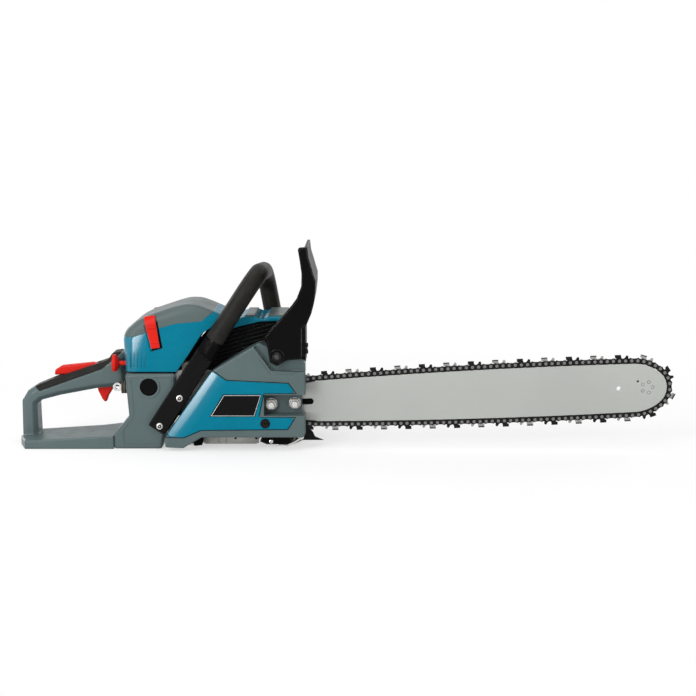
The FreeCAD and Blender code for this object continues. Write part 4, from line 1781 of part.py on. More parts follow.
# Starter side
def starter_housing():
    """Round fan housing with radial vents and a seat for the grip."""
    cup = rod_y(STARTER_RADIUS, 0, CRANK_HEIGHT, CASE_FAR_Y, STARTER_FAR_Y - STARTER_BEVEL)
    crown = Part.makeCone(STARTER_RADIUS, STARTER_RADIUS - STARTER_BEVEL, STARTER_BEVEL,
                          Vec(0, STARTER_FAR_Y - STARTER_BEVEL, CRANK_HEIGHT), Vec(0, 1, 0))
    half_length, half_width = GRIP_HALF_LENGTH + STARTER_WALL, GRIP_HALF_WIDTH + STARTER_WALL
    tower = on_rope(block(-half_length, half_length, -half_width, half_width, -TOWER_LENGTH, 0))
    outer = join([cup, crown, tower])
    inner_face = STARTER_FAR_Y - STARTER_WALL
    room = rod_y(STARTER_RADIUS - STARTER_WALL, 0, CRANK_HEIGHT, CASE_FAR_Y - OVERRUN, inner_face)
    hub = rod_y(PULLEY_BORE_RADIUS - RUNNING_GAP, 0, CRANK_HEIGHT, PULLEY_NEAR_Y, STARTER_FAR_Y)
    case = ring_y(SPRING_CASE_RADIUS, SPRING_CASE_RADIUS - STARTER_WALL, 0, CRANK_HEIGHT,
                  PULLEY_NEAR_Y + PULLEY_WIDTH + FREE_GAP, STARTER_FAR_Y)
    shell = join([outer.cut(room), hub, case])
    cuts = [on_rope(rod_z(ROPE_RADIUS + FREE_GAP, 0, 0, -TOWER_LENGTH, OVERRUN))]
    for index in range(VENT_COUNT):
        vent = block(VENT_INNER_RADIUS, VENT_OUTER_RADIUS, inner_face - OVERRUN, STARTER_FAR_Y + OVERRUN,
                     -VENT_WIDTH / 2, VENT_WIDTH / 2)
        vent.rotate(Vec(0, 0, 0), Vec(0, 1, 0), 360 / VENT_COUNT * index)
        vent.translate(Vec(0, 0, CRANK_HEIGHT))
        cuts.append(vent)
    return shell.cut(cuts)


def flywheel():
    """Flywheel with fan blades."""
    face = FLYWHEEL_NEAR_Y + FLYWHEEL_THICKNESS
    parts = [rod_y(FLYWHEEL_RADIUS, 0, CRANK_HEIGHT, FLYWHEEL_NEAR_Y, face)]
    parts.append(rod_y(FLYWHEEL_HUB_RADIUS, 0, CRANK_HEIGHT, face, face + FAN_BLADE_HEIGHT / 2))
    for index in range(FAN_BLADES):
        blade = block(FLYWHEEL_RADIUS - FAN_BLADE_LENGTH, FLYWHEEL_RADIUS - OVERRUN,
                      face - OVERRUN, face + FAN_BLADE_HEIGHT,
                      -FAN_BLADE_THICKNESS / 2, FAN_BLADE_THICKNESS / 2)
        blade.rotate(Vec(0, 0, 0), Vec(0, 1, 0), 360 / FAN_BLADES * index)
        blade.translate(Vec(0, 0, CRANK_HEIGHT))
        parts.append(blade)
    return join(parts).cut(rod_y(CLUTCH_SHAFT_RADIUS, 0, CRANK_HEIGHT, CASE_FAR_Y, STARTER_FAR_Y))


def ignition_coil():
    """Coil block beside the flywheel, on the case."""
    radius = FLYWHEEL_RADIUS + FREE_GAP * 2
    middle = CRANK_HEIGHT - radius + COIL_LAP
    body = block(-COIL_LENGTH / 2, COIL_LENGTH / 2, CASE_FAR_Y, CASE_FAR_Y + COIL_THICKNESS,
                 middle - COIL_HEIGHT / 2, middle + COIL_HEIGHT / 2)
    body = body.cut(rod_y(radius, 0, CRANK_HEIGHT, CASE_FAR_Y - OVERRUN, STARTER_FAR_Y))
    return body.common(rod_y(STARTER_RADIUS - STARTER_WALL - SEAT_GAP, 0, CRANK_HEIGHT,
                             CASE_FAR_Y, STARTER_FAR_Y))


def starter_pulley():
    """Grooved rope pulley on the housing's hub."""
    end = PULLEY_NEAR_Y + PULLEY_WIDTH
    disc = rod_y(PULLEY_RADIUS, 0, CRANK_HEIGHT, PULLEY_NEAR_Y, end)
    third = PULLEY_WIDTH / 3
    groove = ring_y(PULLEY_RADIUS + OVERRUN, PULLEY_GROOVE_RADIUS, 0, CRANK_HEIGHT,
                    PULLEY_NEAR_Y + third, end - third)
    bore = rod_y(PULLEY_BORE_RADIUS, 0, CRANK_HEIGHT, PULLEY_NEAR_Y - OVERRUN, end + OVERRUN)
    return disc.cut([groove, bore])


def on_rope(shape):
    """Shape moved from the rope's own frame, with +Z along the pull, to its seat on the housing."""
    moved = shape.copy()
    moved.rotate(Vec(0, 0, 0), Vec(1, 0, 0), -ROPE_TILT)
    moved.translate(Vec(GRIP_X, PULLEY_NEAR_Y + PULLEY_WIDTH / 2, GRIP_SEAT_Z))
    return moved


def starter_grip():
    """Pull grip with the first stretch of rope."""
    bar = block(-GRIP_HALF_LENGTH, GRIP_HALF_LENGTH, -GRIP_HALF_WIDTH, GRIP_HALF_WIDTH,
                FREE_GAP, FREE_GAP + GRIP_HEIGHT)
    bar = bar.makeFillet(GRIP_HALF_WIDTH / 2, bar.Edges)
    rope = rod_z(ROPE_RADIUS, 0, 0, -ROPE_STUB, GRIP_HEIGHT / 2)
    return on_rope(join([bar, rope]))


def build():
    """All nodes by name."""
    links, straps, cutters = chain()
    blue_part, pale_part = filter_cover_parts()
    return {
        "crankcase": crankcase(), "cylinder": cylinder(), "spark_plug": spark_plug(),
        "crankshaft": crankshaft(), "crank_bearings": crank_bearings(), "connecting_rod": connecting_rod(),
        "piston": piston(), "piston_rings": piston_rings(), "wrist_pin": wrist_pin(),
        "clutch_drum": clutch_drum(), "clutch_hub": clutch_hub(), "clutch_shoes": clutch_shoes(),
        "brake_band": brake_band(), "oil_pump": oil_pump(),
        "clutch_cover": clutch_cover(), "cover_panel": cover_panel(), "label_plate": label_plate(),
        "tension_screw": tension_screw(), "bar_studs": bar_studs(), "bar_nuts": bar_nuts(),
        "guide_bar": guide_bar(), "nose_sprocket": nose_sprocket(),
        "drive_links": Part.makeCompound(links), "tie_straps": Part.makeCompound(straps),
        "cutters": Part.makeCompound(cutters),
        "hand_guard": hand_guard(), "front_handle": front_handle(), "front_grip": front_grip(),
        "tank_housing": tank_housing(), "rear_handle": rear_handle(), "handle_grip": handle_grip(),
        "throttle_trigger": throttle_trigger(), "throttle_lockout": throttle_lockout(),
        "choke_knob": choke_knob(), "stop_switch": stop_switch(),
        "linkage_eye": linkage_eye(), "rubber_parts": rubber_parts(),
        "av_cap": rod_y(AV_CAP_RADIUS - SEAT_GAP, AV_CAP_X, AV_CAP_Z, TANK_NEAR_Y + LABEL_THICKNESS,
                        TANK_NEAR_Y + AV_CAP_DEPTH),
        "fuel_cap": filler_cap(FUEL_NECK_X, FUEL_NECK_Z, TANK_FAR_Y + NECK_WALL, CAP_RADIUS, NECK_RADIUS),
        "oil_cap": filler_cap(OIL_NECK_X, OIL_NECK_Z, CASE_FAR_Y + NECK_WALL, OIL_CAP_RADIUS,
                              OIL_NECK_RADIUS),
        "filter_cover": blue_part, "filter_cover_top": pale_part,
        "near_latch": latch(-1), "far_latch": latch(1),
        "inner_housing": inner_housing(), "air_filter": air_filter(), "carburettor": carburettor(),
        "intake_boot": intake_boot(), "cylinder_cover": cylinder_cover(), "cover_caps": cover_caps(),
        "side_grille": side_grille(), "muffler": muffler(), "spiked_bumper": spiked_bumper(),
        "chain_catcher": chain_catcher(), "fasteners": fasteners(),
        "starter_housing": starter_housing(), "flywheel": flywheel(), "ignition_coil": ignition_coil(),
        "starter_pulley": starter_pulley(), "starter_grip": starter_grip(),
    }


os.makedirs("parts", exist_ok=True)
for node_name, node_shape in build().items():
    node_shape.exportStep(os.path.join("parts", node_name + ".step"))
    print(node_name, len(node_shape.Solids), node_shape.isValid(), round(node_shape.Volume))
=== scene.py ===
"""Looks of a petrol chainsaw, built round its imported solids.

Sizes are in millimetres until a mesh is placed, and MM turns them into metres.
The bar points along +X, the clutch side faces -Y and +Z is up.
"""
import json
import logging
import math
from dataclasses import dataclass, replace
from enum import Enum
from typing import ClassVar, Sequence

import bmesh
import bpy
from mathutils import Euler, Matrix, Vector


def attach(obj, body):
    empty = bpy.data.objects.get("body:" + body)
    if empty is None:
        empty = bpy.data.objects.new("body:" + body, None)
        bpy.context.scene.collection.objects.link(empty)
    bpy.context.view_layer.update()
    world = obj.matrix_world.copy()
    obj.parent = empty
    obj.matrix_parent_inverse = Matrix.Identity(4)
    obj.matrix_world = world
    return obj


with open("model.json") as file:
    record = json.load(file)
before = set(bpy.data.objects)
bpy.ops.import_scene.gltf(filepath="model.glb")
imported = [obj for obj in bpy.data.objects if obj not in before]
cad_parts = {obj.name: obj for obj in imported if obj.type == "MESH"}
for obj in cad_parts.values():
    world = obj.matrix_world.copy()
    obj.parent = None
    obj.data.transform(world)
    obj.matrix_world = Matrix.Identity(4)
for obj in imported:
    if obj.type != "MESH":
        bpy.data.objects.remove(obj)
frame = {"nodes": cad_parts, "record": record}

MM = 0.001
LOG = logging.getLogger("chainsaw")
Colour = tuple[float, float, float]
Point2 = tuple[float, float]
Point3 = tuple[float, float, float]
Outline = tuple[Point2, ...]
Socket = bpy.types.NodeSocket
Object = bpy.types.Object


class Slot(Enum):
    """Finishes of the saw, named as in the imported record."""

    GREY = "grey_housing"
    BLUE = "blue_shell"
    PALE = "pale_shell"
    RED = "red_control"
    BLACK = "black_plastic"
    RUBBER = "black_rubber"
    BROWN = "brown_rubber"
    ENAMEL = "black_enamel"
    BAR = "bar_steel"
    CHAIN = "chain_steel"
    ZINC = "bright_zinc"
    DARK = "dark_steel"
    CAST = "cast_alloy"
    MACHINED = "machined_alloy"
    FELT = "filter_felt"
    LABEL = "label_black"
    CERAMIC = "plug_ceramic"


class Facing(Enum):
    """Way that a turned detail looks, as the turn that brings +Z there."""

    NEAR = (math.pi / 2, 0.0, 0.0)
    FAR = (-math.pi / 2, 0.0, 0.0)
    FRONT = (0.0, math.pi / 2, 0.0)


@dataclass(frozen=True)
class Pattern:
    """Noise in patches, and the two levels that it is read between."""

    size: float
    detail: float = 3.0
    stretch: Point3 = (1, 1, 1)
    turn: float = 0.0
    rough: float = 0.5
    low: float = 0.3
    high: float = 0.7


class Nodes:
    """Node tree, with helpers that add and join its nodes."""

    def __init__(self, tree: bpy.types.NodeTree) -> None:
        """Starts with the nodes that the tree has."""
        self.tree = tree

    def node(self, kind: str, **settings: object) -> bpy.types.Node:
        """Adds a shader node and sets its properties."""
        made = self.tree.nodes.new("ShaderNode" + kind)
        for key, value in settings.items():
            setattr(made, key, value)
        return made

    def link(self, source: Socket, target: Socket) -> None:
        """Joins two sockets."""
        self.tree.links.new(source, target)

    def spread(self, source: Socket, low: float, high: float, to_low: float = 0.0,
               to_high: float = 1.0) -> Socket:
        """Maps a value between two levels to two others.

        Args:
            source: Value to map.
            low: Level that becomes to_low.
            high: Level that becomes to_high.
            to_low: Result at the low level.
            to_high: Result at the high level.

        Returns:
            Socket of the mapped value, which stays between the two results.
        """
        made = self.node("MapRange")
        levels = {"From Min": low, "From Max": high, "To Min": to_low, "To Max": to_high}
        for name, value in levels.items():
            made.inputs[name].default_value = value
        self.link(source, made.inputs["Value"])
        return made.outputs["Result"]

    def maths(self, operation: str, first: Socket, second: float | Socket) -> Socket:
        """Joins a value with a number or another value."""
        made = self.node("Math", operation=operation)
        self.link(first, made.inputs[0])
        if isinstance(second, (int, float)):
            made.inputs[1].default_value = second
        else:
            self.link(second, made.inputs[1])
        return made.outputs["Value"]

    def shaders(self, share: Socket, first: Socket, second: Socket) -> Socket:
        """Mixes two shaders by a share."""
        mix = self.node("MixShader")
        for index, source in enumerate((share, first, second)):
            self.link(source, mix.inputs[index])
        return mix.outputs[0]

    def seen_directly(self) -> Socket:
        """Share that is 1 where the camera looks, also by a mirror or through glass."""
        rays = self.node("LightPath").outputs
        share = rays["Is Camera Ray"]
        for name in ("Is Glossy Ray", "Is Transmission Ray"):
            share = self.maths("MAXIMUM", share, rays[name])
        return share


class Graph(Nodes):
    """Node tree of one material, with helpers in millimetres."""

    BEVEL_SAMPLES = 4
    FLAT, SHARP = 0.995, 0.9
    COLOUR_A, COLOUR_B, MIXED_COLOUR = 6, 7, 2

    def __init__(self, name: str) -> None:
        """Starts a material with its shader and its object coordinates."""
        self.material = bpy.data.materials.new(name)
        self.material.use_nodes = True
        super().__init__(self.material.node_tree)
        self.shader = self.tree.nodes["Principled BSDF"]
        self.place = self.node("TexCoord").outputs["Object"]

    def drive(self, socket: str, source: Socket) -> None:
        """Joins a socket to one of the shader's inputs."""
        self.link(source, self.shader.inputs[socket])

    def mapped(self, stretch: Point3 = (1, 1, 1), turn: float = 0.0) -> Socket:
        """Object coordinates, stretched along the axes and turned about Y."""
        mapping = self.node("Mapping", vector_type="TEXTURE")
        mapping.inputs["Scale"].default_value = stretch
        mapping.inputs["Rotation"].default_value = (0, turn, 0)
        self.link(self.place, mapping.inputs["Vector"])
        return mapping.outputs["Vector"]

    def noise(self, pattern: Pattern) -> Socket:
        """Noise of a pattern, from 0 to 1."""
        made = self.node("TexNoise")
        made.inputs["Scale"].default_value = 1 / (pattern.size * MM)
        made.inputs["Detail"].default_value = pattern.detail
        made.inputs["Roughness"].default_value = pattern.rough
        self.link(self.mapped(pattern.stretch, pattern.turn), made.inputs["Vector"])
        return made.outputs["Fac"]

    def patches(self, pattern: Pattern, to_low: float = 0.0, to_high: float = 1.0) -> Socket:
        """Noise of a pattern, with its two levels mapped to two values."""
        return self.spread(self.noise(pattern), pattern.low, pattern.high, to_low, to_high)

    def cells(self, size: float) -> Socket:
        """Distance to the nearest of scattered points about size millimetres apart."""
        made = self.node("TexVoronoi")
        made.inputs["Scale"].default_value = 1 / (size * MM)
        self.link(self.mapped(), made.inputs["Vector"])
        return made.outputs["Distance"]

    def blend(self, share: Socket, first: Colour | Socket, second: Colour | Socket) -> Socket:
        """Mixes two colours by a share."""
        made = self.node("Mix", data_type="RGBA")
        self.link(share, made.inputs[0])
        for index, value in ((self.COLOUR_A, first), (self.COLOUR_B, second)):
            if isinstance(value, tuple):
                made.inputs[index].default_value = (*value, 1)
            else:
                self.link(value, made.inputs[index])
        return made.outputs[self.MIXED_COLOUR]

    def edged(self, rim: Socket, share: float | Socket, base: Colour | Socket,
              colour: Colour) -> Socket:
        """Mixes a share of a colour into the edges."""
        return self.blend(self.maths("MULTIPLY", rim, share), base, colour)

    def side(self, axis: str) -> Socket:
        """One of the object coordinates, in metres."""
        made = self.node("SeparateXYZ")
        self.link(self.place, made.inputs[0])
        return made.outputs[axis]

    def edges(self, radius: float) -> tuple[Socket, Socket]:
        """Softened normal and a mask of the edges.

        Args:
            radius: Reach of an edge in millimetres.

        Returns:
            Normal rounded over the edges, and a mask that is 1 on them.
        """
        soft = self.node("Bevel", samples=self.BEVEL_SAMPLES)
        soft.inputs["Radius"].default_value = radius * MM
        dot = self.node("VectorMath", operation="DOT_PRODUCT")
        self.link(soft.outputs["Normal"], dot.inputs[0])
        self.link(self.node("NewGeometry").outputs["Normal"], dot.inputs[1])
        return soft.outputs["Normal"], self.spread(dot.outputs["Value"], self.FLAT, self.SHARP)

    def relief(self, height: Socket, depth: float, normal: Socket | None = None) -> Socket:
        """Bump of a depth in millimetres, over another normal."""
        made = self.node("Bump")
        made.inputs["Distance"].default_value = depth * MM
        self.link(height, made.inputs["Height"])
        if normal is not None:
            self.link(normal, made.inputs["Normal"])
        return made.outputs["Normal"]


def toned(colour: Colour, factor: float) -> Colour:
    """Colour made lighter or darker."""
    return tuple(min(1.0, part * factor) for part in colour)


@dataclass(frozen=True)
class Finish:
    """Base of all finishes: colour, gloss and how far they wander."""

    name: str
    colour: Colour
    roughness: float
    tone: float = 0.12
    edge: float = 0.5

    def graph(self, metallic: float = 0.0) -> Graph:
        """Starts the material with its plain values."""
        graph = Graph(self.name)
        graph.shader.inputs["Metallic"].default_value = metallic
        graph.material.diffuse_color = (*self.colour, 1)
        return graph

    def mottled(self, graph: Graph, share: Socket) -> Socket:
        """The colour, darker and lighter by the tone."""
        return graph.blend(share, toned(self.colour, 1 - self.tone),
                           toned(self.colour, 1 + self.tone))

    def build(self) -> bpy.types.Material:
        """Makes the material."""
        raise NotImplementedError


@dataclass(frozen=True)
class MouldedPlastic(Finish):
    """Injection-moulded plastic with spark-eroded grain, rubbed edges and faint scuffs."""

    CLOUDS: ClassVar[Pattern] = Pattern(55, detail=2)
    CHIPS: ClassVar[Pattern] = Pattern(2.2, detail=4, low=0.42, high=0.62)
    SCUFFS: ClassVar[Pattern] = Pattern(1.1, 4, stretch=(9, 1, 1), turn=0.5, low=0.55, high=0.72)
    HAZE: ClassVar[Pattern] = Pattern(18)
    WAVES: ClassVar[Pattern] = Pattern(30, detail=1)

    grain: float = 0.7
    depth: float = 0.02
    coat: float = 0.0
    rub: float = 0.25
    shine: float = 0.08
    glint: float = 0.5
    wave: float = 0.03
    haze: float = 0.05
    scuff: float = 0.1
    worn_share: float = 0.55
    worn_lift: float = 0.16
    coat_roughness: float = 0.12

    def build(self) -> bpy.types.Material:
        """Makes the material."""
        graph = self.graph()
        soft, rim = graph.edges(self.edge)
        base = self.mottled(graph, graph.patches(self.CLOUDS))
        chips = graph.patches(self.CHIPS, 0, self.rub)
        worn = tuple(part * self.worn_share + self.worn_lift for part in self.colour)
        graph.drive("Base Color", graph.edged(rim, chips, base, worn))
        haze = graph.patches(self.HAZE, self.roughness - self.haze, self.roughness + self.haze)
        scuffs = graph.patches(self.SCUFFS, 0, self.scuff)
        graph.drive("Roughness", graph.maths("ADD", haze, scuffs))
        graph.drive("Coat Weight", graph.spread(rim, 0, 1, self.coat, self.glint))
        graph.shader.inputs["Coat Roughness"].default_value = self.coat_roughness
        graph.shader.inputs["Specular IOR Level"].default_value = self.shine
        pebble = graph.relief(graph.noise(Pattern(self.grain, detail=2)), self.depth, soft)
        waves = graph.relief(graph.noise(self.WAVES), self.wave, pebble)
        graph.drive("Normal", self.swell(graph, waves))
        graph.drive("Coat Normal", self.swell(graph, soft))
        return graph.material

    def swell(self, graph: Graph, normal: Socket) -> Socket:
        """Normal of the shell as it is. A finish with a moulded swell changes it."""
        return normal


@dataclass(frozen=True)
class SlopedPlastic(MouldedPlastic):
    """Glossy shell shaded by a bump as if its rear edge were rounded off, along a line in X and Z.
    """

    start: Point2 = (-99.6, 20.2)
    end: Point2 = (-37.0, 109.3)
    wide: float = 24.0
    fall: float = 3.6
    bend: float = 2.0
    floor: float = 0.25

    def swell(self, graph: Graph, normal: Socket) -> Socket:
        """Bends the normal as if the edge were rounded, and gives it a coat that fades inwards and
        downwards.

        Args:
            graph: Material that is being made.
            normal: Normal below the rounding.

        Returns:
            Normal that falls away towards the rear edge.
        """
        dx, dz = self.end[0] - self.start[0], self.end[1] - self.start[1]
        length = math.hypot(dx, dz)
        inward = graph.maths("SUBTRACT", graph.maths("MULTIPLY", graph.side("X"), dz / length),
                             graph.maths("MULTIPLY", graph.side("Z"), dx / length))
        zero = (self.start[0] * dz - self.start[1] * dx) / length
        left = graph.spread(inward, zero * MM, (zero + self.wide) * MM, 1, 0)
        crest = graph.spread(graph.maths("POWER", left, self.bend), 0, 1, 1, 0)
        high = graph.spread(graph.side("Z"), self.start[1] * MM, self.end[1] * MM, self.floor, 1)
        graph.drive("Coat Weight", graph.maths("MULTIPLY", left, high))
        return graph.relief(crest, self.fall, normal)


@dataclass(frozen=True)
class SoftRubber(Finish):
    """Matt rubber with fine dimples and grey dust."""

    DUST: ClassVar[Pattern] = Pattern(16, detail=5, rough=0.65, low=0.45, high=0.75)
    PORES: ClassVar[Pattern] = Pattern(0.35, detail=2)
    DIMPLE_LEVELS: ClassVar[Point2] = (0.15, 0.6)

    dimple: float = 1.4
    depth: float = 0.16
    dusty: float = 2.1
    dust_roughness: float = 0.2
    # Colour mixed into every edge by a fixed share.
    edge_tint: Colour = (0.07, 0.07, 0.07)
    rub: float = 0.3
    shine: float = 0.12
    pore: float = 0.03

    def build(self) -> bpy.types.Material:
        """Makes the material."""
        graph = self.graph()
        soft, rim = graph.edges(self.edge)
        dust = graph.patches(self.DUST)
        base = graph.blend(dust, self.colour, toned(self.colour, self.dusty))
        graph.drive("Base Color", graph.edged(rim, self.rub, base, self.edge_tint))
        dull = min(1.0, self.roughness + self.dust_roughness)
        graph.drive("Roughness", graph.spread(dust, 0, 1, self.roughness, dull))
        graph.shader.inputs["Specular IOR Level"].default_value = self.shine
        cells = graph.spread(graph.cells(self.dimple), *self.DIMPLE_LEVELS)
        dimples = graph.relief(cells, self.depth, soft)
        graph.drive("Normal", graph.relief(graph.noise(self.PORES), self.pore, dimples))
        return graph.material


@dataclass(frozen=True)
class Steel(Finish):
    """Steel with brush marks, stains, and edges with a painted highlight, or a painted dark
    reflection where rim is below 1.
    """

    STAINS: ClassVar[Pattern] = Pattern(9, detail=5, rough=0.7, low=0.52, high=0.8)
    # Patches of painted light on the edges: a highlight, or a dark reflection where rim is below 1.
    PAINTED_EDGE_LIGHT: ClassVar[Pattern] = Pattern(3, low=0.4, high=0.6)
    PAINTED_EDGE_LIGHT_SHARES: ClassVar[Point2] = (0.1, 0.6)
    PAINTED_DARK_REFLECTION_SHARES: ClassVar[Point2] = (0.9, 1.0)
    MARK_LEVELS: ClassVar[Point2] = (0.25, 0.75)

    brush: Point3 = (40, 1, 1)
    width: float = 0.25
    turn: float = 0.0
    depth: float = 0.008
    stain: Colour = (0.16, 0.15, 0.14)
    stained: float = 0.25
    metallic: float = 1.0
    shine: float = 0.3
    # Tone of the edges: above 1 a painted highlight, below 1 a painted dark reflection.
    rim: float = 1.5
    mark_roughness: float = 0.08
    stain_roughness: float = 0.4

    def surface(self, graph: Graph) -> tuple[Socket, Socket]:
        """Builds colour and edge mask shared by all steels.

        Args:
            graph: Material that is being made.

        Returns:
            Socket of the colour and socket of the edge mask.
        """
        soft, rim = graph.edges(self.edge)
        graph.shader.inputs["Specular IOR Level"].default_value = self.shine
        brushed = Pattern(self.width, stretch=self.brush, turn=self.turn)
        marks = graph.noise(brushed)
        base = self.mottled(graph, graph.spread(marks, brushed.low, brushed.high))
        stains = graph.patches(self.STAINS, 0, self.stained)
        base = graph.blend(stains, base, self.stain)
        ground = graph.spread(marks, *self.MARK_LEVELS, self.roughness - self.mark_roughness,
                              self.roughness + self.mark_roughness)
        dull = graph.maths("MULTIPLY", stains, self.stain_roughness)
        graph.drive("Roughness", graph.maths("ADD", ground, dull))
        graph.drive("Normal", graph.relief(marks, self.depth, soft))
        return base, rim

    def build(self) -> bpy.types.Material:
        """Makes the material."""
        graph = self.graph(self.metallic)
        base, rim = self.surface(graph)
        graph.drive("Base Color", self.painted(graph, base, rim))
        return graph.material

    def painted(self, graph: Graph, base: Socket, rim: Socket) -> Socket:
        """Colour of the steel, with a painted highlight or a painted dark reflection on its edges.
        """
        # Edges get painted light: a highlight, turned into a dark reflection where rim is below 1.
        share = graph.patches(self.PAINTED_EDGE_LIGHT, *self.PAINTED_EDGE_LIGHT_SHARES)
        if self.rim < 1:
            share = graph.spread(share, 0, 1, *self.PAINTED_DARK_REFLECTION_SHARES)
        return graph.edged(rim, share, base, toned(self.colour, self.rim))


@dataclass(frozen=True)
class BarSteel(Steel):
    """Ground bar steel, with painted shade beside the saw and a painted highlight along the edges
    of its rails.
    """

    DRIFT: ClassVar[Pattern] = Pattern(140, detail=1, low=0.35, high=0.65)

    # Painted shade darkens the bar beside the saw and fades out along X; dull is its share.
    painted_shade_from: float = 60.0
    painted_shade_to: float = 190.0
    dull: float = 0.25
    drift: float = 0.12
    painted_shade_tone: float = 0.55

    def painted(self, graph: Graph, base: Socket, rim: Socket) -> Socket:
        """Colour of the steel, with painted shade beside the saw and a painted highlight on its
        edges.
        """
        # near is the painted shade beside the saw; drift adds random darker patches.
        near = graph.spread(graph.side("X"), self.painted_shade_from * MM, self.painted_shade_to * MM, self.dull, 0)
        drift = graph.patches(self.DRIFT, 0, self.drift)
        shade = graph.blend(graph.maths("ADD", near, drift), base,
                            toned(self.stain, self.painted_shade_tone))
        return graph.blend(rim, shade, toned(self.colour, self.rim))


@dataclass(frozen=True)
class ChainSteel(Steel):
    """Oiled chain steel whose rivet heads are bright, with painted light: a lighter far side, a
    highlight on the edges and shade round the rivet heads.
    """

    rivet: Colour = (0.17, 0.17, 0.165)
    # Colour of the far side, lighter than the near side: painted light.
    far: Colour = (0.02, 0.02, 0.02)
    plane: float = -42.0
    head_from: float = 2.0
    # Lighter edges: painted highlight.
    edge_highlight_share: float = 0.35
    edge_highlight_tone: float = 2.2
    # Darker rims of the rivet heads: painted shade.
    rivet_rim_shade_share: float = 0.8
    rivet_rim_shade_tone: float = 0.15

    def painted(self, graph: Graph, base: Socket, rim: Socket) -> Socket:
        """Colour of the steel, with a lighter far side, lighter edges and darker rivet rims, all
        painted light.
        """
        across = graph.maths("SUBTRACT", graph.side("Y"), self.plane * MM)
        head = graph.maths("GREATER_THAN", graph.maths("ABSOLUTE", across, 0), self.head_from * MM)
        # The far side is lighter than the near side: painted light.
        far_side_lit = graph.blend(graph.maths("GREATER_THAN", across, 0.0), base, self.far)
        # Lighter edges are a painted highlight, darker rivet rims painted shade.
        edged = graph.edged(rim, self.edge_highlight_share, far_side_lit, toned(self.colour, self.edge_highlight_tone))
        rivet_rim_shaded = graph.edged(rim, self.rivet_rim_shade_share, self.rivet, toned(self.rivet, self.rivet_rim_shade_tone))
        return graph.blend(head, edged, rivet_rim_shaded)


@dataclass(frozen=True)
class FastenerSteel(Steel):
    """Black screws with a painted highlight on their edges, of which those at the rear and low down
    are zinc plated.
    """

    plated: Colour = (0.72, 0.72, 0.7)
    rear_of: float = -70.0
    below: float = 30.0
    edge_highlight_share: float = 0.4
    edge_highlight_tone: float = 2.0

    def painted(self, graph: Graph, base: Socket, rim: Socket) -> Socket:
        """Colour of the steel, with a painted highlight on its edges."""
        rear = graph.maths("LESS_THAN", graph.side("X"), self.rear_of * MM)
        low = graph.maths("LESS_THAN", graph.side("Z"), self.below * MM)
        # Lighter edges: painted highlight.
        edged = graph.edged(rim, self.edge_highlight_share, base, toned(self.colour, self.edge_highlight_tone))
        return graph.blend(graph.maths("MAXIMUM", rear, low), edged, self.plated)


@dataclass(frozen=True)
class CastAlloy(Finish):
    """Sand-blasted die casting with soot in random patches."""

    SOOT: ClassVar[Pattern] = Pattern(24, detail=5, rough=0.65, low=0.42, high=0.75)

    grit: float = 0.9
    depth: float = 0.09
    soot: float = 0.35
    soot_tone: float = 0.3
    # Lighter edges: painted highlight.
    edge_highlight_share: float = 0.5
    edge_highlight_tone: float = 1.4
    metallic: float = 0.85
    smoother: float = 0.06
    rougher: float = 0.1

    def build(self) -> bpy.types.Material:
        """Makes the material."""
        graph = self.graph(self.metallic)
        soft, rim = graph.edges(self.edge)
        soot = graph.patches(self.SOOT, 0, self.soot)
        speck = graph.patches(Pattern(self.grit))
        base = graph.blend(soot, self.mottled(graph, speck), toned(self.colour, self.soot_tone))
        # Edges lighter: painted highlight.
        painted_edge_highlight = toned(self.colour, self.edge_highlight_tone)
        graph.drive("Base Color", graph.edged(rim, self.edge_highlight_share, base, painted_edge_highlight))
        gloss = (self.roughness - self.smoother, self.roughness + self.rougher)
        graph.drive("Roughness", graph.spread(speck, 0, 1, *gloss))
        graph.drive("Normal", graph.relief(speck, self.depth, soft))
        return graph.material


@dataclass(frozen=True)
class Felt(Finish):
    """Pleated filter felt with loose fibres."""

    FIBRE_LEVELS: ClassVar[Point2] = (0.4, 0.7)

    fibre: float = 0.3
    long: float = 8.0
    turns: Point2 = (0.7, -0.4)
    rough: float = 0.7
    shade: float = 0.7
    sheen: float = 0.4
    depth: float = 0.2

    def build(self) -> bpy.types.Material:
        """Makes the material."""
        graph = self.graph()
        threads = graph.noise(Pattern(self.fibre, 4, (self.long, 1, 1), self.turns[0], self.rough))
        cross = graph.noise(Pattern(self.fibre, 4, (1, 1, self.long), self.turns[1], self.rough))
        both = graph.maths("MAXIMUM", threads, cross)
        fibres = graph.spread(both, *self.FIBRE_LEVELS)
        shade = toned(self.colour, self.shade)
        graph.drive("Base Color", graph.blend(fibres, shade, self.colour))
        graph.shader.inputs["Roughness"].default_value = self.roughness
        graph.shader.inputs["Sheen Weight"].default_value = self.sheen
        graph.drive("Normal", graph.relief(both, self.depth))
        return graph.material


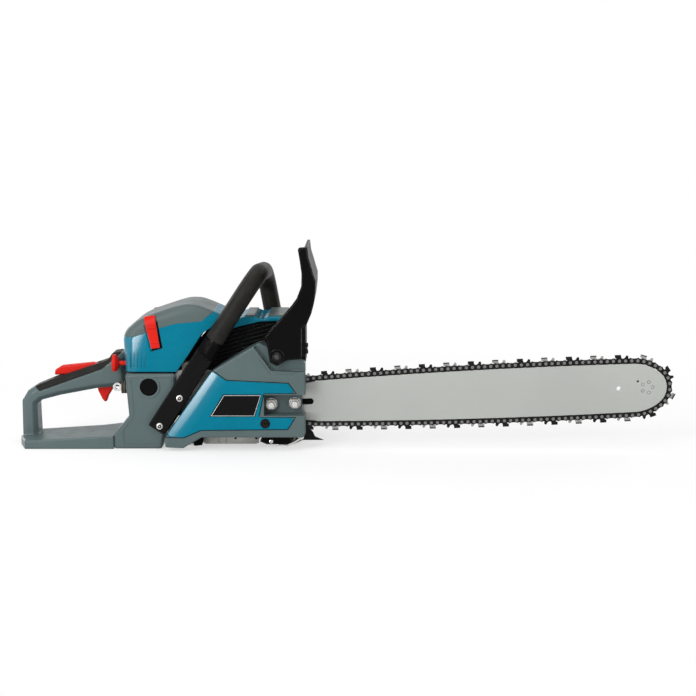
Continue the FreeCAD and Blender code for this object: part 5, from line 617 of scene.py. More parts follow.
class Wardrobe:
    """All finishes, each made once."""

    GREY: Colour = (0.07, 0.1, 0.102)
    BLUE: Colour = (0.001, 0.137, 0.208)
    BLACK: Colour = (0.003, 0.003, 0.0032)
    OXIDE: Colour = (0.02, 0.02, 0.02)
    EVEN: Point3 = (1, 1, 1)

    FINISHES: dict[Slot, Finish] = {
        Slot.GREY: MouldedPlastic(
            "grey_housing_plastic", GREY, roughness=0.36, tone=0.05, edge=1.4, shine=0.2),
        Slot.BLUE: MouldedPlastic(
            "blue_shell_plastic", BLUE, roughness=0.26, tone=0.04, edge=2.4, depth=0.006, rub=0.1,
            shine=0.05, wave=0.02, glint=0.8),
        Slot.PALE: MouldedPlastic(
            "pale_shell_plastic", (0.08, 0.105, 0.104), roughness=0.34, tone=0.04, edge=2.0,
            depth=0.01, shine=0.1, rub=0.1),
        Slot.RED: MouldedPlastic(
            "red_control_plastic", (0.52, 0.012, 0.006), roughness=0.34, tone=0.06, edge=0.9,
            rub=0.1),
        Slot.BLACK: MouldedPlastic(
            "black_plastic_grained", BLACK, roughness=0.36, tone=0.1, edge=0.8, rub=0.1, shine=0.03,
            glint=0.8),
        Slot.RUBBER: SoftRubber("black_rubber_dimpled", (0.008, 0.0075, 0.0065), roughness=0.46),
        Slot.BROWN: SoftRubber(
            "brown_rubber_dusty", (0.1, 0.088, 0.076), roughness=0.7, dimple=2.2, depth=0.08),
        Slot.ENAMEL: MouldedPlastic(
            "black_enamel_tube", BLACK, roughness=0.28, tone=0.1, grain=1.6, rub=0.1, glint=0.8),
        Slot.BAR: BarSteel(
            "bar_steel_brushed", (0.39, 0.4, 0.38), roughness=0.44, tone=0.03, edge=0.7,
            turn=-0.0419, stained=0.05, stain=(0.34, 0.35, 0.34), metallic=0.5),
        Slot.CHAIN: ChainSteel(
            "chain_steel_oiled", (0.014, 0.014, 0.014), roughness=0.32, tone=0.3, edge=0.25,
            width=0.4, brush=(3, 1, 1), metallic=0.7, stained=0.1, shine=0.1),
        # Zinc edges darkened: painted dark reflection.
        Slot.ZINC: Steel(
            "zinc_plated", (0.62, 0.62, 0.6), roughness=0.22, tone=0.1, edge=0.45, brush=EVEN,
            width=1.5, stained=0.2, stain=(0.25, 0.24, 0.22), rim=0.12),
        Slot.DARK: Steel(
            "dark_steel_turned", (0.05, 0.05, 0.05), roughness=0.36, tone=0.25, brush=(1, 14, 1),
            metallic=0.7),
        Slot.CAST: CastAlloy("cast_alloy_blasted", (0.3, 0.3, 0.29), roughness=0.5),
        Slot.MACHINED: Steel(
            "alloy_machined", (0.5, 0.5, 0.49), roughness=0.34, tone=0.1, brush=(1, 20, 1)),
        Slot.FELT: Felt("filter_felt_pleated", (0.55, 0.5, 0.4), roughness=0.95),
        Slot.LABEL: MouldedPlastic(
            "label_plate_lacquer", (0.004, 0.004, 0.0045), roughness=0.22, depth=0.002, rub=0.0,
            shine=0.06),
        Slot.CERAMIC: MouldedPlastic(
            "plug_ceramic_glaze", (0.78, 0.77, 0.73), roughness=0.12, tone=0.03, depth=0.004,
            coat=0.8),
    }
    PANEL: Finish = SlopedPlastic(
        "panel_blue_gloss", BLUE, roughness=0.26, tone=0.04, edge=1.2, depth=0.004, rub=0.0,
        shine=0.05, wave=0.02)
    SPECIAL: dict[str, Finish] = {
        "cover_panel": PANEL,
        "filter_cover": replace(
            PANEL, name="filter_blue_gloss", rub=0.1, start=(-164.0, 100.0), end=(-147.0, 150.0),
            wide=26.0, floor=0.9),
        "bar_studs": FINISHES[Slot.ZINC],
        # Nut edges darkened further: painted dark reflection.
        "bar_nuts": replace(
            FINISHES[Slot.ZINC], name="nut_zinc_plated", colour=(0.42, 0.42, 0.41), roughness=0.2,
            edge=1.5, rim=0.05),
        # Cutters pale grey on the far side and black on the near side: painted light on one chrome.
        "cutters": replace(
            FINISHES[Slot.CHAIN], name="cutter_chrome", roughness=0.26, metallic=0.8,
            far=(0.34, 0.34, 0.33)),
        "fasteners": FastenerSteel(
            "fastener_steel", (0.016, 0.016, 0.016), roughness=0.3, brush=EVEN, width=1.2,
            metallic=0.9, shine=0.1),
        "spiked_bumper": Steel(
            "bumper_black_oxide", (0.005, 0.005, 0.005), roughness=0.4, tone=0.3, brush=(6, 1, 6),
            metallic=0.1, stained=0.1, stain=OXIDE, shine=0.08),
        "muffler": Steel(
            "muffler_heat_paint", (0.008, 0.008, 0.008), roughness=0.5, tone=0.3, brush=EVEN,
            width=2.5, depth=0.04, stain=(0.04, 0.03, 0.022), stained=0.3, metallic=0.1, shine=0.1),
        "tension_screw": Steel(
            "adjuster_black_oxide", (0.008, 0.008, 0.008), roughness=0.34, tone=0.3, brush=EVEN,
            width=1.2, stained=0.1, stain=OXIDE, metallic=0.2, shine=0.1),
        "rear_handle": replace(
            FINISHES[Slot.GREY], name="grey_handle_plastic", edge=4.0, rub=0.1),
    }

    def __init__(self) -> None:
        """Starts with nothing made."""
        self.made: dict[str, bpy.types.Material] = {}

    def of(self, finish: Finish) -> bpy.types.Material:
        """Material of a finish."""
        if finish.name not in self.made:
            self.made[finish.name] = finish.build()
        return self.made[finish.name]

    def slot(self, slot: Slot) -> bpy.types.Material:
        """Material of a slot."""
        return self.of(self.FINISHES[slot])

    def dress_nodes(self, nodes: dict[str, Object], slots: dict[str, str]) -> None:
        """Gives every carried-over node its material.

        Args:
            nodes: Objects by node name.
            slots: Slot names by node name.
        """
        for name, node in nodes.items():
            finish = self.SPECIAL.get(name) or self.FINISHES[Slot(slots[name])]
            node.data.materials.clear()
            node.data.materials.append(self.of(finish))
            LOG.info("node %s wears %s", name, finish.name)


@dataclass(frozen=True)
class Turning:
    """Round detail: radius and height at its seat, then radius and rise of each further step.

    The lobes of its recess are star deep, as a share, and its own Y is pressed to flat.
    """

    radius: float
    depth: float
    steps: tuple[Point2, ...]
    sides: int = 32
    star: float = 0.0
    flat: float = 1.0

    @classmethod
    def screw(cls, radius: float) -> "Turning":
        """Domed screw head with a star recess."""
        steps = ((0.9, 0.16), (0.6, 0.12), (0.5, 0.0), (0.46, -0.3))
        scaled = tuple((radius * wide, radius * rise) for wide, rise in steps)
        return cls(radius, radius * 0.3, scaled, sides=24, star=0.3)


@dataclass(frozen=True)
class Plate:
    """Outline in X and Z between two places along Y, and the width of its bevel."""

    outline: Outline
    seat: float
    top: float
    rim: float = 0.2


@dataclass(frozen=True)
class Rib:
    """Rounded rib between two ends in X and Z, from its seat to its crest along Y."""

    start: Point2
    end: Point2
    width: float
    seat: float
    top: float


class Bench:
    """Modelling by hand, one operator after the other."""

    WELD = 0.005
    SMOOTH_TO = 32.0
    UPWARDS = 0.9
    RECESS = 0.55
    LOBES = 6
    RIB_ROUND = 0.3
    RIM_STEPS, RIB_STEPS = 3, 2

    @staticmethod
    def clear() -> None:
        """Leaves edit mode and deselects everything."""
        if bpy.context.object and bpy.context.object.mode != "OBJECT":
            bpy.ops.object.mode_set(mode="OBJECT")
        bpy.ops.object.select_all(action="DESELECT")

    @staticmethod
    def settle() -> None:
        """Puts the place, turn and scale of the selected piece into its mesh."""
        bpy.ops.object.transform_apply(location=True, rotation=True, scale=True)

    @classmethod
    def close(cls, piece: Object) -> Object:
        """Merges, points the faces outwards, leaves edit mode and shades by angle."""
        bpy.ops.mesh.select_all(action="SELECT")
        bpy.ops.mesh.remove_doubles(threshold=cls.WELD * MM)
        bpy.ops.mesh.normals_make_consistent(inside=False)
        bpy.ops.object.mode_set(mode="OBJECT")
        cls.settle()
        bpy.ops.object.shade_smooth_by_angle(angle=math.radians(cls.SMOOTH_TO))
        return piece

    @classmethod
    def face(cls, outline: Sequence[Point2], y: float) -> Object:
        """Flat outline in X and Z at a place along Y, left in edit mode."""
        cls.clear()
        bpy.ops.mesh.primitive_circle_add(vertices=len(outline), radius=MM, fill_type="NGON")
        piece = bpy.context.object
        for vertex, (x, z) in zip(piece.data.vertices, outline):
            vertex.co = (x * MM, y * MM, z * MM)
        bpy.ops.object.mode_set(mode="EDIT")
        bpy.ops.mesh.select_all(action="SELECT")
        return piece

    @staticmethod
    def extrude(move: Point3) -> None:
        """Extrudes what is selected by a move in millimetres."""
        bpy.ops.mesh.extrude_region_move(
            TRANSFORM_OT_translate={"value": tuple(part * MM for part in move)})

    @classmethod
    def plate(cls, shape: Plate) -> Object:
        """Plate with a bevelled outer rim."""
        piece = cls.face(shape.outline, shape.seat)
        cls.extrude((0, shape.top - shape.seat, 0))
        bpy.ops.mesh.bevel(offset=shape.rim * MM, segments=cls.RIM_STEPS, affect="EDGES")
        return cls.close(piece)

    @classmethod
    def border(cls, outline: Sequence[Point2], width: float, seat: float, top: float) -> Object:
        """Narrow raised border along an outline.

        Args:
            outline: Outer outline in X and Z.
            width: Width of the border.
            seat: Y where it sits.
            top: Y of its outer face.

        Returns:
            The border.
        """
        piece = cls.face(outline, seat)
        bpy.ops.mesh.inset(thickness=width * MM, use_even_offset=True)
        bpy.ops.mesh.delete(type="FACE")
        bpy.ops.mesh.select_all(action="SELECT")
        cls.extrude((0, top - seat, 0))
        return cls.close(piece)

    @classmethod
    def turned(cls, place: Point3, facing: Facing | Point3, shape: Turning) -> Object:
        """Round detail whose outer face is drawn in and out in steps.

        Args:
            place: Centre of its seat.
            facing: Way that it looks, or the turn itself.
            shape: Its steps.

        Returns:
            The detail.
        """
        cls.clear()
        bpy.ops.mesh.primitive_cylinder_add(vertices=shape.sides, radius=shape.radius * MM,
                                            depth=shape.depth * MM,
                                            location=(0, 0, shape.depth / 2 * MM))
        piece = bpy.context.object
        bpy.ops.object.transform_apply(location=True)
        bpy.ops.object.mode_set(mode="EDIT")
        bpy.ops.mesh.select_all(action="DESELECT")
        mesh = bmesh.from_edit_mesh(piece.data)
        for side in mesh.faces:
            side.select_set(side.normal.z > cls.UPWARDS)
        bmesh.update_edit_mesh(piece.data)
        height, now = shape.depth, shape.radius
        for wide, rise in shape.steps:
            cls.extrude((0, 0, rise))
            height += rise
            share = wide / now
            bpy.ops.transform.resize(value=(share, share, 1),
                                     center_override=(0, 0, height * MM))
            now = wide
        if shape.star:
            cls.lobes(piece, shape)
        piece.scale = (1, shape.flat, 1)
        piece.rotation_euler = Euler(facing.value if isinstance(facing, Facing) else facing)
        piece.location = Vector(place) * MM
        return cls.close(piece)

    @classmethod
    def lobes(cls, piece: Object, shape: Turning) -> None:
        """Makes the round recess of a piece in edit mode a star."""
        mesh = bmesh.from_edit_mesh(piece.data)
        for point in mesh.verts:
            if 0 < math.hypot(point.co.x, point.co.y) < shape.radius * cls.RECESS * MM:
                turn = math.atan2(point.co.y, point.co.x)
                lobe = 1 - shape.star * (1 + math.cos(cls.LOBES * turn)) / 2
                point.co.x *= lobe
                point.co.y *= lobe
        bmesh.update_edit_mesh(piece.data)

    @classmethod
    def rib(cls, shape: Rib) -> Object:
        """Rib with rounded edges."""
        cls.clear()
        (x1, z1), (x2, z2) = shape.start, shape.end
        dx, dz, high = x2 - x1, z2 - z1, abs(shape.top - shape.seat)
        middle = Vector((x1 + x2, shape.seat + shape.top, z1 + z2)) / 2
        bpy.ops.mesh.primitive_cube_add(size=1, location=middle * MM,
                                        rotation=(0, -math.atan2(dz, dx), 0))
        piece = bpy.context.object
        piece.scale = Vector((math.hypot(dx, dz) + shape.width, high, shape.width)) * MM
        cls.settle()
        bpy.ops.object.mode_set(mode="EDIT")
        bpy.ops.mesh.select_all(action="SELECT")
        reach = min(shape.width, high) * cls.RIB_ROUND
        bpy.ops.mesh.bevel(offset=reach * MM, segments=cls.RIB_STEPS, affect="EDGES")
        return cls.close(piece)

    @classmethod
    def copy(cls, piece: Object, move: Sequence[float]) -> Object:
        """Moved copy of a piece, with a mesh of its own."""
        cls.clear()
        piece.select_set(True)
        bpy.context.view_layer.objects.active = piece
        bpy.ops.object.duplicate(linked=False)
        made = bpy.context.object
        made.location = Vector(move) * MM
        cls.settle()
        return made

    @classmethod
    def row(cls, piece: Object, places: Sequence[Point3]) -> Object:
        """One object from a piece at the first place and its copies at the others."""
        first, *others = [Vector(place) for place in places]
        return cls.joined([piece] + [cls.copy(piece, other - first) for other in others])

    @classmethod
    def joined(cls, pieces: Sequence[Object]) -> Object:
        """One object from several, with their loose parts kept apart."""
        cls.clear()
        for piece in pieces:
            piece.select_set(True)
        bpy.context.view_layer.objects.active = pieces[0]
        bpy.ops.object.join()
        return bpy.context.object


@dataclass
class SubAssembly:
    """A group of pieces that is modelled and dressed together."""

    wardrobe: Wardrobe

    def place(self, piece: Object, name: str, slot: Slot, body: str = "saw") -> None:
        """Names a piece, gives it its finish and lets it ride on a body.

        Args:
            piece: Finished mesh object.
            name: Plain name of the piece.
            slot: Finish of the piece.
            body: Body that carries it.
        """
        piece.name = name
        piece.data.name = name
        piece.data.materials.clear()
        piece.data.materials.append(self.wardrobe.slot(slot))
        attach(piece, body)
        LOG.info("piece %s: %d faces on %s", name, len(piece.data.polygons), body)

    def build(self) -> None:
        """Models all pieces of the group."""
        raise NotImplementedError


@dataclass
class ClutchSide(SubAssembly):
    """Trim of the clutch cover: label border, panel seam, embossed line and adjuster ring.

    The outlines of label and seam are shares of the cover's box.
    """

    face: float = -76.0
    panel: float = -77.4
    plate: float = -78.2
    rear: float = -101.5
    low: float = 3.7
    length: float = 188.0
    height: float = 141.3
    sunk: float = 0.4
    label: Outline = ((0.425, 0.515), (0.331, 0.315), (0.639, 0.315), (0.687, 0.515))
    label_width: float = 0.8
    label_sunk: float = 0.3
    label_proud: float = 0.15
    seam: Outline = ((0.343, 0.757), (0.0, 0.117), (0.003, 0.103), (0.134, 0.098), (0.259, 0.17),
                     (0.877, 0.179), (0.935, 0.303), (0.674, 0.303), (0.709, 0.525),
                     (0.942, 0.525), (0.883, 0.631), (0.444, 0.66))
    seam_width: float = 0.9
    seam_proud: float = 0.25
    line: Outline = ((21.5, 131), (39, 106), (70, 104), (70, 110), (84, 110))
    line_width: float = 1.2
    line_proud: float = 0.35
    adjuster: Point2 = (33, 38)
    ring_sunk: float = 0.5
    ring: Turning = Turning(6.6, 1.0, ((6.1, 0.4), (4.9, 0.0), (4.7, -0.9)))

    def at(self, shares: Outline) -> Outline:
        """Points from shares of the cover's box."""
        return tuple((self.rear + u * self.length, self.low + v * self.height) for u, v in shares)

    def build(self) -> None:
        """Models all pieces of the group."""
        label = Bench.border(self.at(self.label), self.label_width, self.plate + self.label_sunk,
                             self.plate - self.label_proud)
        self.place(label, "label_border", Slot.ZINC)
        seat = self.face + self.sunk
        seam = Bench.border(self.at(self.seam), self.seam_width, seat, self.face - self.seam_proud)
        self.place(seam, "panel_seam", Slot.BLACK)
        lines = [Bench.rib(Rib(start, end, self.line_width, seat, self.face - self.line_proud))
                 for start, end in zip(self.line, self.line[1:])]
        self.place(Bench.joined(lines), "cover_embossed_line", Slot.GREY)
        x, z = self.adjuster
        ring = Bench.turned((x, self.panel + self.ring_sunk, z), Facing.NEAR, self.ring)
        self.place(ring, "adjuster_ring", Slot.BLACK)


@dataclass
class Handle(SubAssembly):
    """Moulded sleeve at the front handle's lower end, and the heads of the bracket screws, with
    black discs as painted shade in their recesses.
    """

    foot: Point3 = (-48.0, -70.0, 127.5)
    lean: float = 33.1
    sleeve: Turning = Turning(11.8, 2.0, ((12.4, 0.8), (12.4, 19.5), (11.5, 1.6), (10.4, 0.4)),
                              sides=48, flat=0.76)
    bracket: float = -75.1
    screws: Outline = ((-81.0, 71.5), (-108.3, 33.7))
    dome_sunk: float = 0.3
    dome: Turning = Turning(4.3, 0.4, ((3.9, 0.5), (2.7, 0.25), (2.3, -0.6)))
    socket_sunk: float = 0.1
    socket: Turning = Turning(2.4, 0.3, ((2.2, 0.1), (1.2, 0.0), (1.0, -0.2)), sides=24, star=0.4)

    def heads(self, shape: Turning, sunk: float) -> Object:
        """One shape on all bracket screws."""
        places = [(x, self.bracket + sunk, z) for x, z in self.screws]
        return Bench.row(Bench.turned(places[0], Facing.NEAR, shape), places)

    def build(self) -> None:
        """Models all pieces of the group."""
        sleeve = Bench.turned(self.foot, (0, math.radians(self.lean), 0), self.sleeve)
        self.place(sleeve, "handle_sleeve", Slot.BLACK)
        domes = self.heads(self.dome, self.dome_sunk)
        self.place(domes, "bracket_screw_domes", Slot.ZINC)
        # Black discs in the recesses of the zinc screw heads: painted shade.
        recess_shade = self.heads(self.socket, self.socket_sunk)
        self.place(recess_shade, "bracket_screw_recess_shade", Slot.ENAMEL)


@dataclass
class BarTrim(SubAssembly):
    """Rings round the nose rivets, a black disc as painted shade in the oil hole, and the plate
    behind the bar's slot, black as painted shade.
    """

    nose: Point2 = (548.0, 81.0)
    skin: float = -44.15
    tilt: float = 2.4
    sunk: float = 0.05
    circle: float = 7.4
    rivets: int = 5
    ring: Turning = Turning(2.25, 0.1, ((2.1, 0.06), (1.8, 0.0)), sides=24)
    hole_at: Point2 = (-12.5, 8.9)
    hole: Turning = Turning(1.5, 0.08, ((1.3, 0.05), (1.1, -0.08)), sides=20)
    guide: Plate = Plate(((70, 54), (97, 55), (101, 58.5), (101, 66), (97, 69.5), (70, 70)),
                         seat=-36.8, top=-39.2, rim=0.5)

    def along(self, distance: float, across: float) -> Point3:
        """Place on the bar's face, measured from the nose centre along and across it."""
        turn = math.radians(self.tilt)
        return (self.nose[0] + distance * math.cos(turn) - across * math.sin(turn),
                self.skin + self.sunk,
                self.nose[1] + distance * math.sin(turn) + across * math.cos(turn))

    def build(self) -> None:
        """Models all pieces of the group."""
        angles = [2 * math.pi * index / self.rivets for index in range(self.rivets)]
        places = [self.along(self.circle * math.cos(angle), self.circle * math.sin(angle))
                  for angle in angles]
        rings = Bench.row(Bench.turned(places[0], Facing.NEAR, self.ring), places)
        self.place(rings, "nose_rivet_rings", Slot.DARK, "bar")
        # The black disc stands for the oil hole; its black is painted shade.
        hole = Bench.turned(self.along(*self.hole_at), Facing.NEAR, self.hole)
        self.place(hole, "nose_oil_hole_shade", Slot.BLACK, "bar")
        # The inner guide plate is black to give the shade in the bar's slot: painted shade.
        self.place(Bench.plate(self.guide), "inner_guide_plate_slot_shade", Slot.BLACK)


@dataclass
class Guard(SubAssembly):
    """Ring at the hand guard's pivot and socket of its bolt."""

    pivot: Point2 = (49.2, 128.0)
    near: float = -78.0
    ring_sunk: float = 0.4
    ring: Turning = Turning(10.4, 1.0, ((9.8, 0.6), (7.6, 0.0), (7.3, -0.9)))
    socket_proud: float = 1.9
    socket: Turning = Turning(3.2, 0.3, ((3.0, 0.1), (2.4, 0.0), (2.1, -0.3)), sides=24, star=0.35)

    def build(self) -> None:
        """Models all pieces of the group."""
        x, z = self.pivot
        ring = Bench.turned((x, self.near + self.ring_sunk, z), Facing.NEAR, self.ring)
        self.place(ring, "guard_pivot_ring", Slot.BLACK, "guard")
        socket = Bench.turned((x, self.near - self.socket_proud, z), Facing.NEAR, self.socket)
        self.place(socket, "guard_bolt_socket", Slot.DARK)


@dataclass
class Front(SubAssembly):
    """Pieces round the cylinder: shield bolts, grille tab and black baffles behind the grille as
    painted shade.
    """

    bolt_seat: Point2 = (85.8, -25.5)
    bolt_heights: Point2 = (136.5, 127.0)
    bolt: Turning = Turning(3.7, 0.9, ((3.5, 0.2), (2.7, 0.0), (2.6, 2.0), (2.2, 0.4)), sides=24)
    tab: Rib = Rib((17, 159.5), (17, 166.5), width=1.5, seat=-45.7, top=-47.5)
    cylinder: Plate = Plate(((-20, 150), (58, 150), (58, 171.5), (-20, 171.5)),
                            seat=-37.4, top=-38.3)
    intake: Plate = Plate(((-66, 122), (-50.2, 151.5), (-39.5, 158.8), (-28, 168), (-8, 163.5),
                           (-31.5, 150.5), (-37.5, 120)), seat=-39.6, top=-41.0)

    def build(self) -> None:
        """Models all pieces of the group."""
        places = [(*self.bolt_seat, height) for height in self.bolt_heights]
        bolts = Bench.row(Bench.turned(places[0], Facing.FRONT, self.bolt), places)
        self.place(bolts, "shield_bolts", Slot.ENAMEL)
        self.place(Bench.rib(self.tab), "grille_tab", Slot.BLACK)
        # Black plates behind the grille, where the parts behind lie in shade: painted shade.
        self.place(Bench.plate(self.cylinder), "cylinder_shade_baffle", Slot.BLACK)
        self.place(Bench.plate(self.intake), "intake_shade_baffle", Slot.BLACK)


@dataclass
class FilterSide(SubAssembly):
    """Trim of the air filter cover, alike on both sides: latch ridges, pockets, grip ribs."""

    near: float = -60.0
    far: float = 54.0
    ridge: Rib = Rib((-124.2, 166.2), (-113.8, 164.4), width=1.7, seat=-61.3, top=-63.4)
    ridge_step: Point3 = (4.7, 0, -20.5)
    pocket: Plate = Plate(((-112.6, 173.0), (-110.6, 173.0), (-104.4, 137.0), (-119.9, 132.4),
                           (-118.9, 136.2), (-107.7, 137.6)), seat=-58.2, top=-58.9)
    grip: Rib = Rib((-148, 111.5), (-147.2, 131), width=1.3, seat=-59.5, top=-60.35)
    grip_step: float = 4.8
    grips: int = 5

    def both(self, piece: Object, shape: Plate | Rib, name: str, bodies: tuple[str, str],
             slot: Slot) -> None:
        """Places a piece on the near side and its copy on the far side.

        Args:
            piece: Piece on the near side.
            shape: Shape whose seat and top say how deep it lies.
            name: Name of both, after the side.
            bodies: Bodies that carry the near one and the far one.
            slot: Finish of both.
        """
        across = self.near + self.far - shape.seat - shape.top
        far = Bench.copy(piece, (0, across, 0))
        self.place(piece, f"near_{name}", slot, bodies[0])
        self.place(far, f"far_{name}", slot, bodies[1])

    def build(self) -> None:
        """Models all pieces of the group."""
        lid = ("filter_lid", "filter_lid")
        ridges = Bench.row(Bench.rib(self.ridge), [(0, 0, 0), self.ridge_step])
        self.both(ridges, self.ridge, "latch_ridges", ("latch_a", "latch_b"), Slot.RED)
        self.both(Bench.plate(self.pocket), self.pocket, "latch_pocket", lid, Slot.BLACK)
        steps = [(self.grip_step * index, 0, 0) for index in range(self.grips)]
        grips = Bench.row(Bench.rib(self.grip), steps)
        self.both(grips, self.grip, "lid_grip_ribs", lid, Slot.BLUE)


@dataclass
class TankSide(SubAssembly):
    """Line on the tank housing and screws in the rear handle's far side."""

    face: float = -62.0
    panel: Outline = ((-147.5, 98.5), (-144.5, 46), (-156, 30), (-160, 24), (-158, 6), (-110, 6),
                      (-93, 66), (-93, 98.5))
    line_width: float = 0.9
    line_sunk: float = 0.4
    line_proud: float = 0.3
    screw_seat: float = 13.7
    screws: Outline = ((-291.5, 66.0), (-291.5, 24.0), (-222.0, 88.0), (-170.5, 104.0))
    screw: Turning = Turning.screw(3.0)

    def build(self) -> None:
        """Models all pieces of the group."""
        line = Bench.border(self.panel, self.line_width, self.face + self.line_sunk,
                            self.face - self.line_proud)
        self.place(line, "tank_panel_line", Slot.GREY)
        places = [(x, self.screw_seat, z) for x, z in self.screws]
        screws = Bench.row(Bench.turned(places[0], Facing.FAR, self.screw), places)
        self.place(screws, "handle_screws", Slot.DARK)


@dataclass
class StarterSide(SubAssembly):
    """Badge and screws of the starter housing on the far side."""

    crank_height: float = 58.0
    badge_seat: float = 67.6
    badge: Turning = Turning(22.5, 1.4, ((21.6, 0.6), (19.8, 0.0), (19.4, -0.5)), sides=64)
    screw_seat: float = 62.8
    circle: float = 43.5
    angles: tuple[float, ...] = (50, 140, 230, 320)
    screw: Turning = Turning.screw(3.2)

    def build(self) -> None:
        """Models all pieces of the group."""
        badge = Bench.turned((0, self.badge_seat, self.crank_height), Facing.FAR, self.badge)
        self.place(badge, "starter_badge", Slot.BLACK)
        places = [(self.circle * math.cos(turn), self.screw_seat,
                   self.crank_height + self.circle * math.sin(turn))
                  for turn in map(math.radians, self.angles)]
        screws = Bench.row(Bench.turned(places[0], Facing.FAR, self.screw), places)
        self.place(screws, "starter_screws", Slot.DARK)


@dataclass
class Underside(SubAssembly):
    """Pieces under the case: lug and clip, ribbed foot, guide strip and screw, and black pieces as
    painted shade: the gap baffle and the foot's holes.
    """

    lug: Plate = Plate(((-71, 17.5), (-69, 2), (-64, 0.4), (-55, 1.5), (-51, 18)),
                       seat=-30.5, top=-46.0, rim=1.2)
    clip: Plate = Plate(((-78, 5.5), (-76, 2.2), (-66, 2.2), (-66, 4.4), (-74.5, 4.6), (-76, 6.5)),
                        seat=-47.2, top=-40.0, rim=0.4)
    gap_shade: Plate = Plate(((-101.2, 24.2), (-97, 42), (-92.5, 60), (-87.2, 83), (-84.8, 97),
                         (-84.6, 44.5), (-99.4, 23.2)), seat=-36.0, top=-50.0)
    rib: Rib = Rib((-50.5, 1.4), (-50.5, 10.4), width=1.5, seat=-29.6, top=-31.2)
    ribs: Point3 = (-50.5, -33.9, -23.8)
    foot: Plate = Plate(((-15.5, 9.8), (-12.5, 1.4), (21.5, 1.4), (21.5, 9.8)),
                        seat=-29.6, top=-31.0, rim=0.4)
    holes: tuple[Point3, ...] = ((-10.5, -30.9, 8.2), (18, -30.9, 8.2))
    hole: Turning = Turning(1.7, 0.3, ((1.5, 0.1), (1.3, -0.2)), sides=20)
    strip: Plate = Plate(((46, 0.5), (61, 0.5), (71.5, 4.4), (80.5, 11.4), (79, 13.4),
                          (70.4, 6.9), (60.4, 2.8), (46, 2.8)), seat=-37.0, top=-47.5, rim=0.5)
    screw_at: Point3 = (39.2, -47.9, 7.2)
    screw: Turning = Turning.screw(2.9)

    def build(self) -> None:
        """Models all pieces of the group."""
        self.place(Bench.plate(self.lug), "rear_lug", Slot.BLACK)
        self.place(Bench.plate(self.clip), "lug_clip", Slot.ZINC)
        # Black plate in a gap between the housings: painted shade.
        self.place(Bench.plate(self.gap_shade), "gap_shade_baffle", Slot.BLACK)
        ribs = Bench.row(Bench.rib(self.rib), [(x, 0, 0) for x in self.ribs])
        foot = Bench.joined([ribs, Bench.plate(self.foot)])
        self.place(foot, "case_foot_ribs", Slot.CAST)
        # Black discs for the foot's holes: painted shade.
        holes = Bench.row(Bench.turned(self.holes[0], Facing.NEAR, self.hole), self.holes)
        self.place(holes, "case_foot_hole_shade", Slot.BLACK)
        self.place(Bench.plate(self.strip), "front_guide_strip", Slot.ZINC)
        screw = Bench.turned(self.screw_at, Facing.NEAR, self.screw)
        self.place(screw, "catcher_screw", Slot.ZINC)


@dataclass(frozen=True)
class Lamp:
    """Square soft lamp, with its place and size in metres and its power in watts."""

    name: str
    place: Point3
    size: float
    power: float


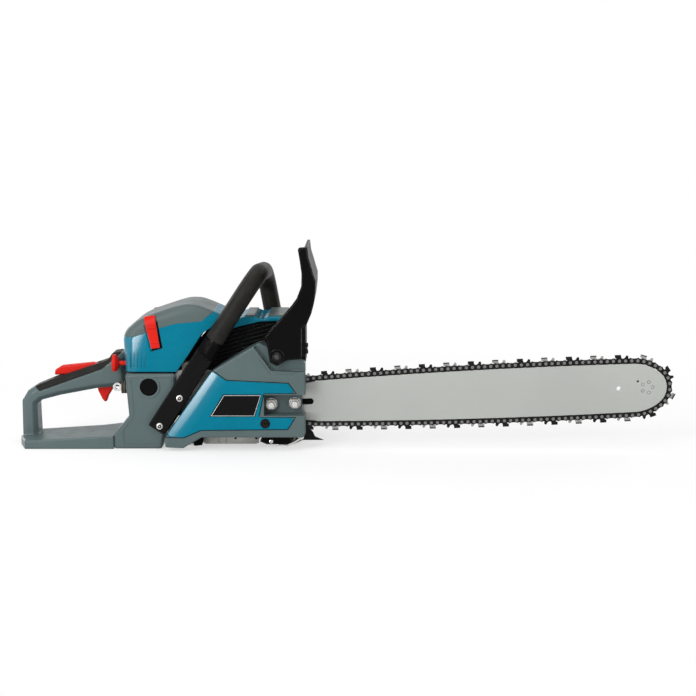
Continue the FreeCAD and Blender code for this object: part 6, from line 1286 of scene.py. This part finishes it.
@dataclass
class Studio:
    """Floor, light and camera."""

    target: Point3 = (143.4, -42.0, 134.6)
    distance: float = 1900.0
    elevation: float = 8.5
    lens: float = 72.9
    sensor: float = 36.0
    floor_size: float = 30.0
    floor_at: Point3 = (0.14, 0, -0.0003)
    floor_grey: float = 0.9
    fade: Point2 = (0.25, 0.9)
    glow: Point2 = (0.55, 1.0)
    air: float = 0.3
    aim: Point3 = (0.05, 0, 0.1)
    lamps: tuple[Lamp, ...] = (
        Lamp("key", (-1.0, -1.6, 1.3), 1.1, 26),
        Lamp("fill", (1.3, -1.6, 0.7), 1.0, 9),
        Lamp("low_left", (-1.13, -1.98, 0.31), 0.6, 16),
        Lamp("top", (0.0, -0.2, 1.8), 1.2, 13),
        Lamp("back_left", (-1.5, 1.3, 0.7), 1.0, 12),
        Lamp("back_right", (1.5, 1.3, 0.7), 1.0, 12),
    )

    def floor(self) -> None:
        """Adds the pale floor that fades into the background."""
        Bench.clear()
        bpy.ops.mesh.primitive_plane_add(size=self.floor_size, location=self.floor_at)
        floor = bpy.context.object
        floor.name = "floor"
        material = bpy.data.materials.new("pale_floor")
        material.use_nodes = True
        nodes = Nodes(material.node_tree)
        nodes.tree.nodes.clear()
        diffuse = nodes.node("BsdfDiffuse")
        diffuse.inputs["Color"].default_value = (*[self.floor_grey] * 3, 1)
        length = nodes.node("VectorMath", operation="LENGTH")
        nodes.link(nodes.node("TexCoord").outputs["Object"], length.inputs[0])
        fade = nodes.spread(length.outputs["Value"], *self.fade, *self.glow)
        share = nodes.maths("MULTIPLY", nodes.seen_directly(), fade)
        mixed = nodes.shaders(share, diffuse.outputs[0], nodes.node("Emission").outputs[0])
        nodes.link(mixed, nodes.node("OutputMaterial").inputs["Surface"])
        floor.data.materials.append(material)

    def world(self) -> None:
        """Sets an even soft light and a white background."""
        world = bpy.data.worlds.new("studio_air")
        bpy.context.scene.world = world
        world.use_nodes = True
        nodes = Nodes(world.node_tree)
        air, out = (nodes.tree.nodes[name] for name in ("Background", "World Output"))
        white = nodes.node("Background")
        for light, strength in ((air, self.air), (white, 1.0)):
            light.inputs["Color"].default_value = (1, 1, 1, 1)
            light.inputs["Strength"].default_value = strength
        mixed = nodes.shaders(nodes.seen_directly(), air.outputs[0], white.outputs[0])
        nodes.link(mixed, out.inputs["Surface"])

    def hang(self, lamp: Lamp) -> None:
        """Adds a lamp that looks at the saw."""
        Bench.clear()
        bpy.ops.object.light_add(type="AREA", location=lamp.place)
        made = bpy.context.object
        made.name = lamp.name
        made.data.size = lamp.size
        made.data.energy = lamp.power
        aim = Vector(self.aim) - Vector(lamp.place)
        made.rotation_euler = aim.to_track_quat("-Z", "Y").to_euler()

    def camera(self) -> None:
        """Adds the camera at the photograph's place."""
        data = bpy.data.cameras.new("photo_camera")
        camera = bpy.data.objects.new("photo_camera", data)
        bpy.context.scene.collection.objects.link(camera)
        data.lens = self.lens
        data.sensor_width = self.sensor
        lift = math.radians(self.elevation)
        back = Vector((0, -math.cos(lift), math.sin(lift)))
        camera.location = (Vector(self.target) + back * self.distance) * MM
        camera.rotation_euler = (-back).to_track_quat("-Z", "Y").to_euler()
        bpy.context.scene.camera = camera

    def build(self) -> None:
        """Sets up the whole studio."""
        bpy.context.scene.view_settings.view_transform = "Standard"
        self.floor()
        self.world()
        for lamp in self.lamps:
            self.hang(lamp)
        self.camera()


def node_slots(record: dict) -> dict[str, str]:
    """Slot names by node name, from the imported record."""
    return {part["node"]: part["material_slot"] for part in record["subparts"]}


def main() -> None:
    """Builds the whole scene."""
    logging.basicConfig(level=logging.INFO, format="%(message)s")
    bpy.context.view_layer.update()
    wardrobe = Wardrobe()
    wardrobe.dress_nodes(frame["nodes"], node_slots(frame["record"]))
    for group in (ClutchSide, Handle, BarTrim, Guard, Front, FilterSide, TankSide, StarterSide,
                  Underside):
        LOG.info("building %s", group.__name__)
        group(wardrobe).build()
    Studio().build()
    Bench.clear()


if __name__ == "__main__":
    main()
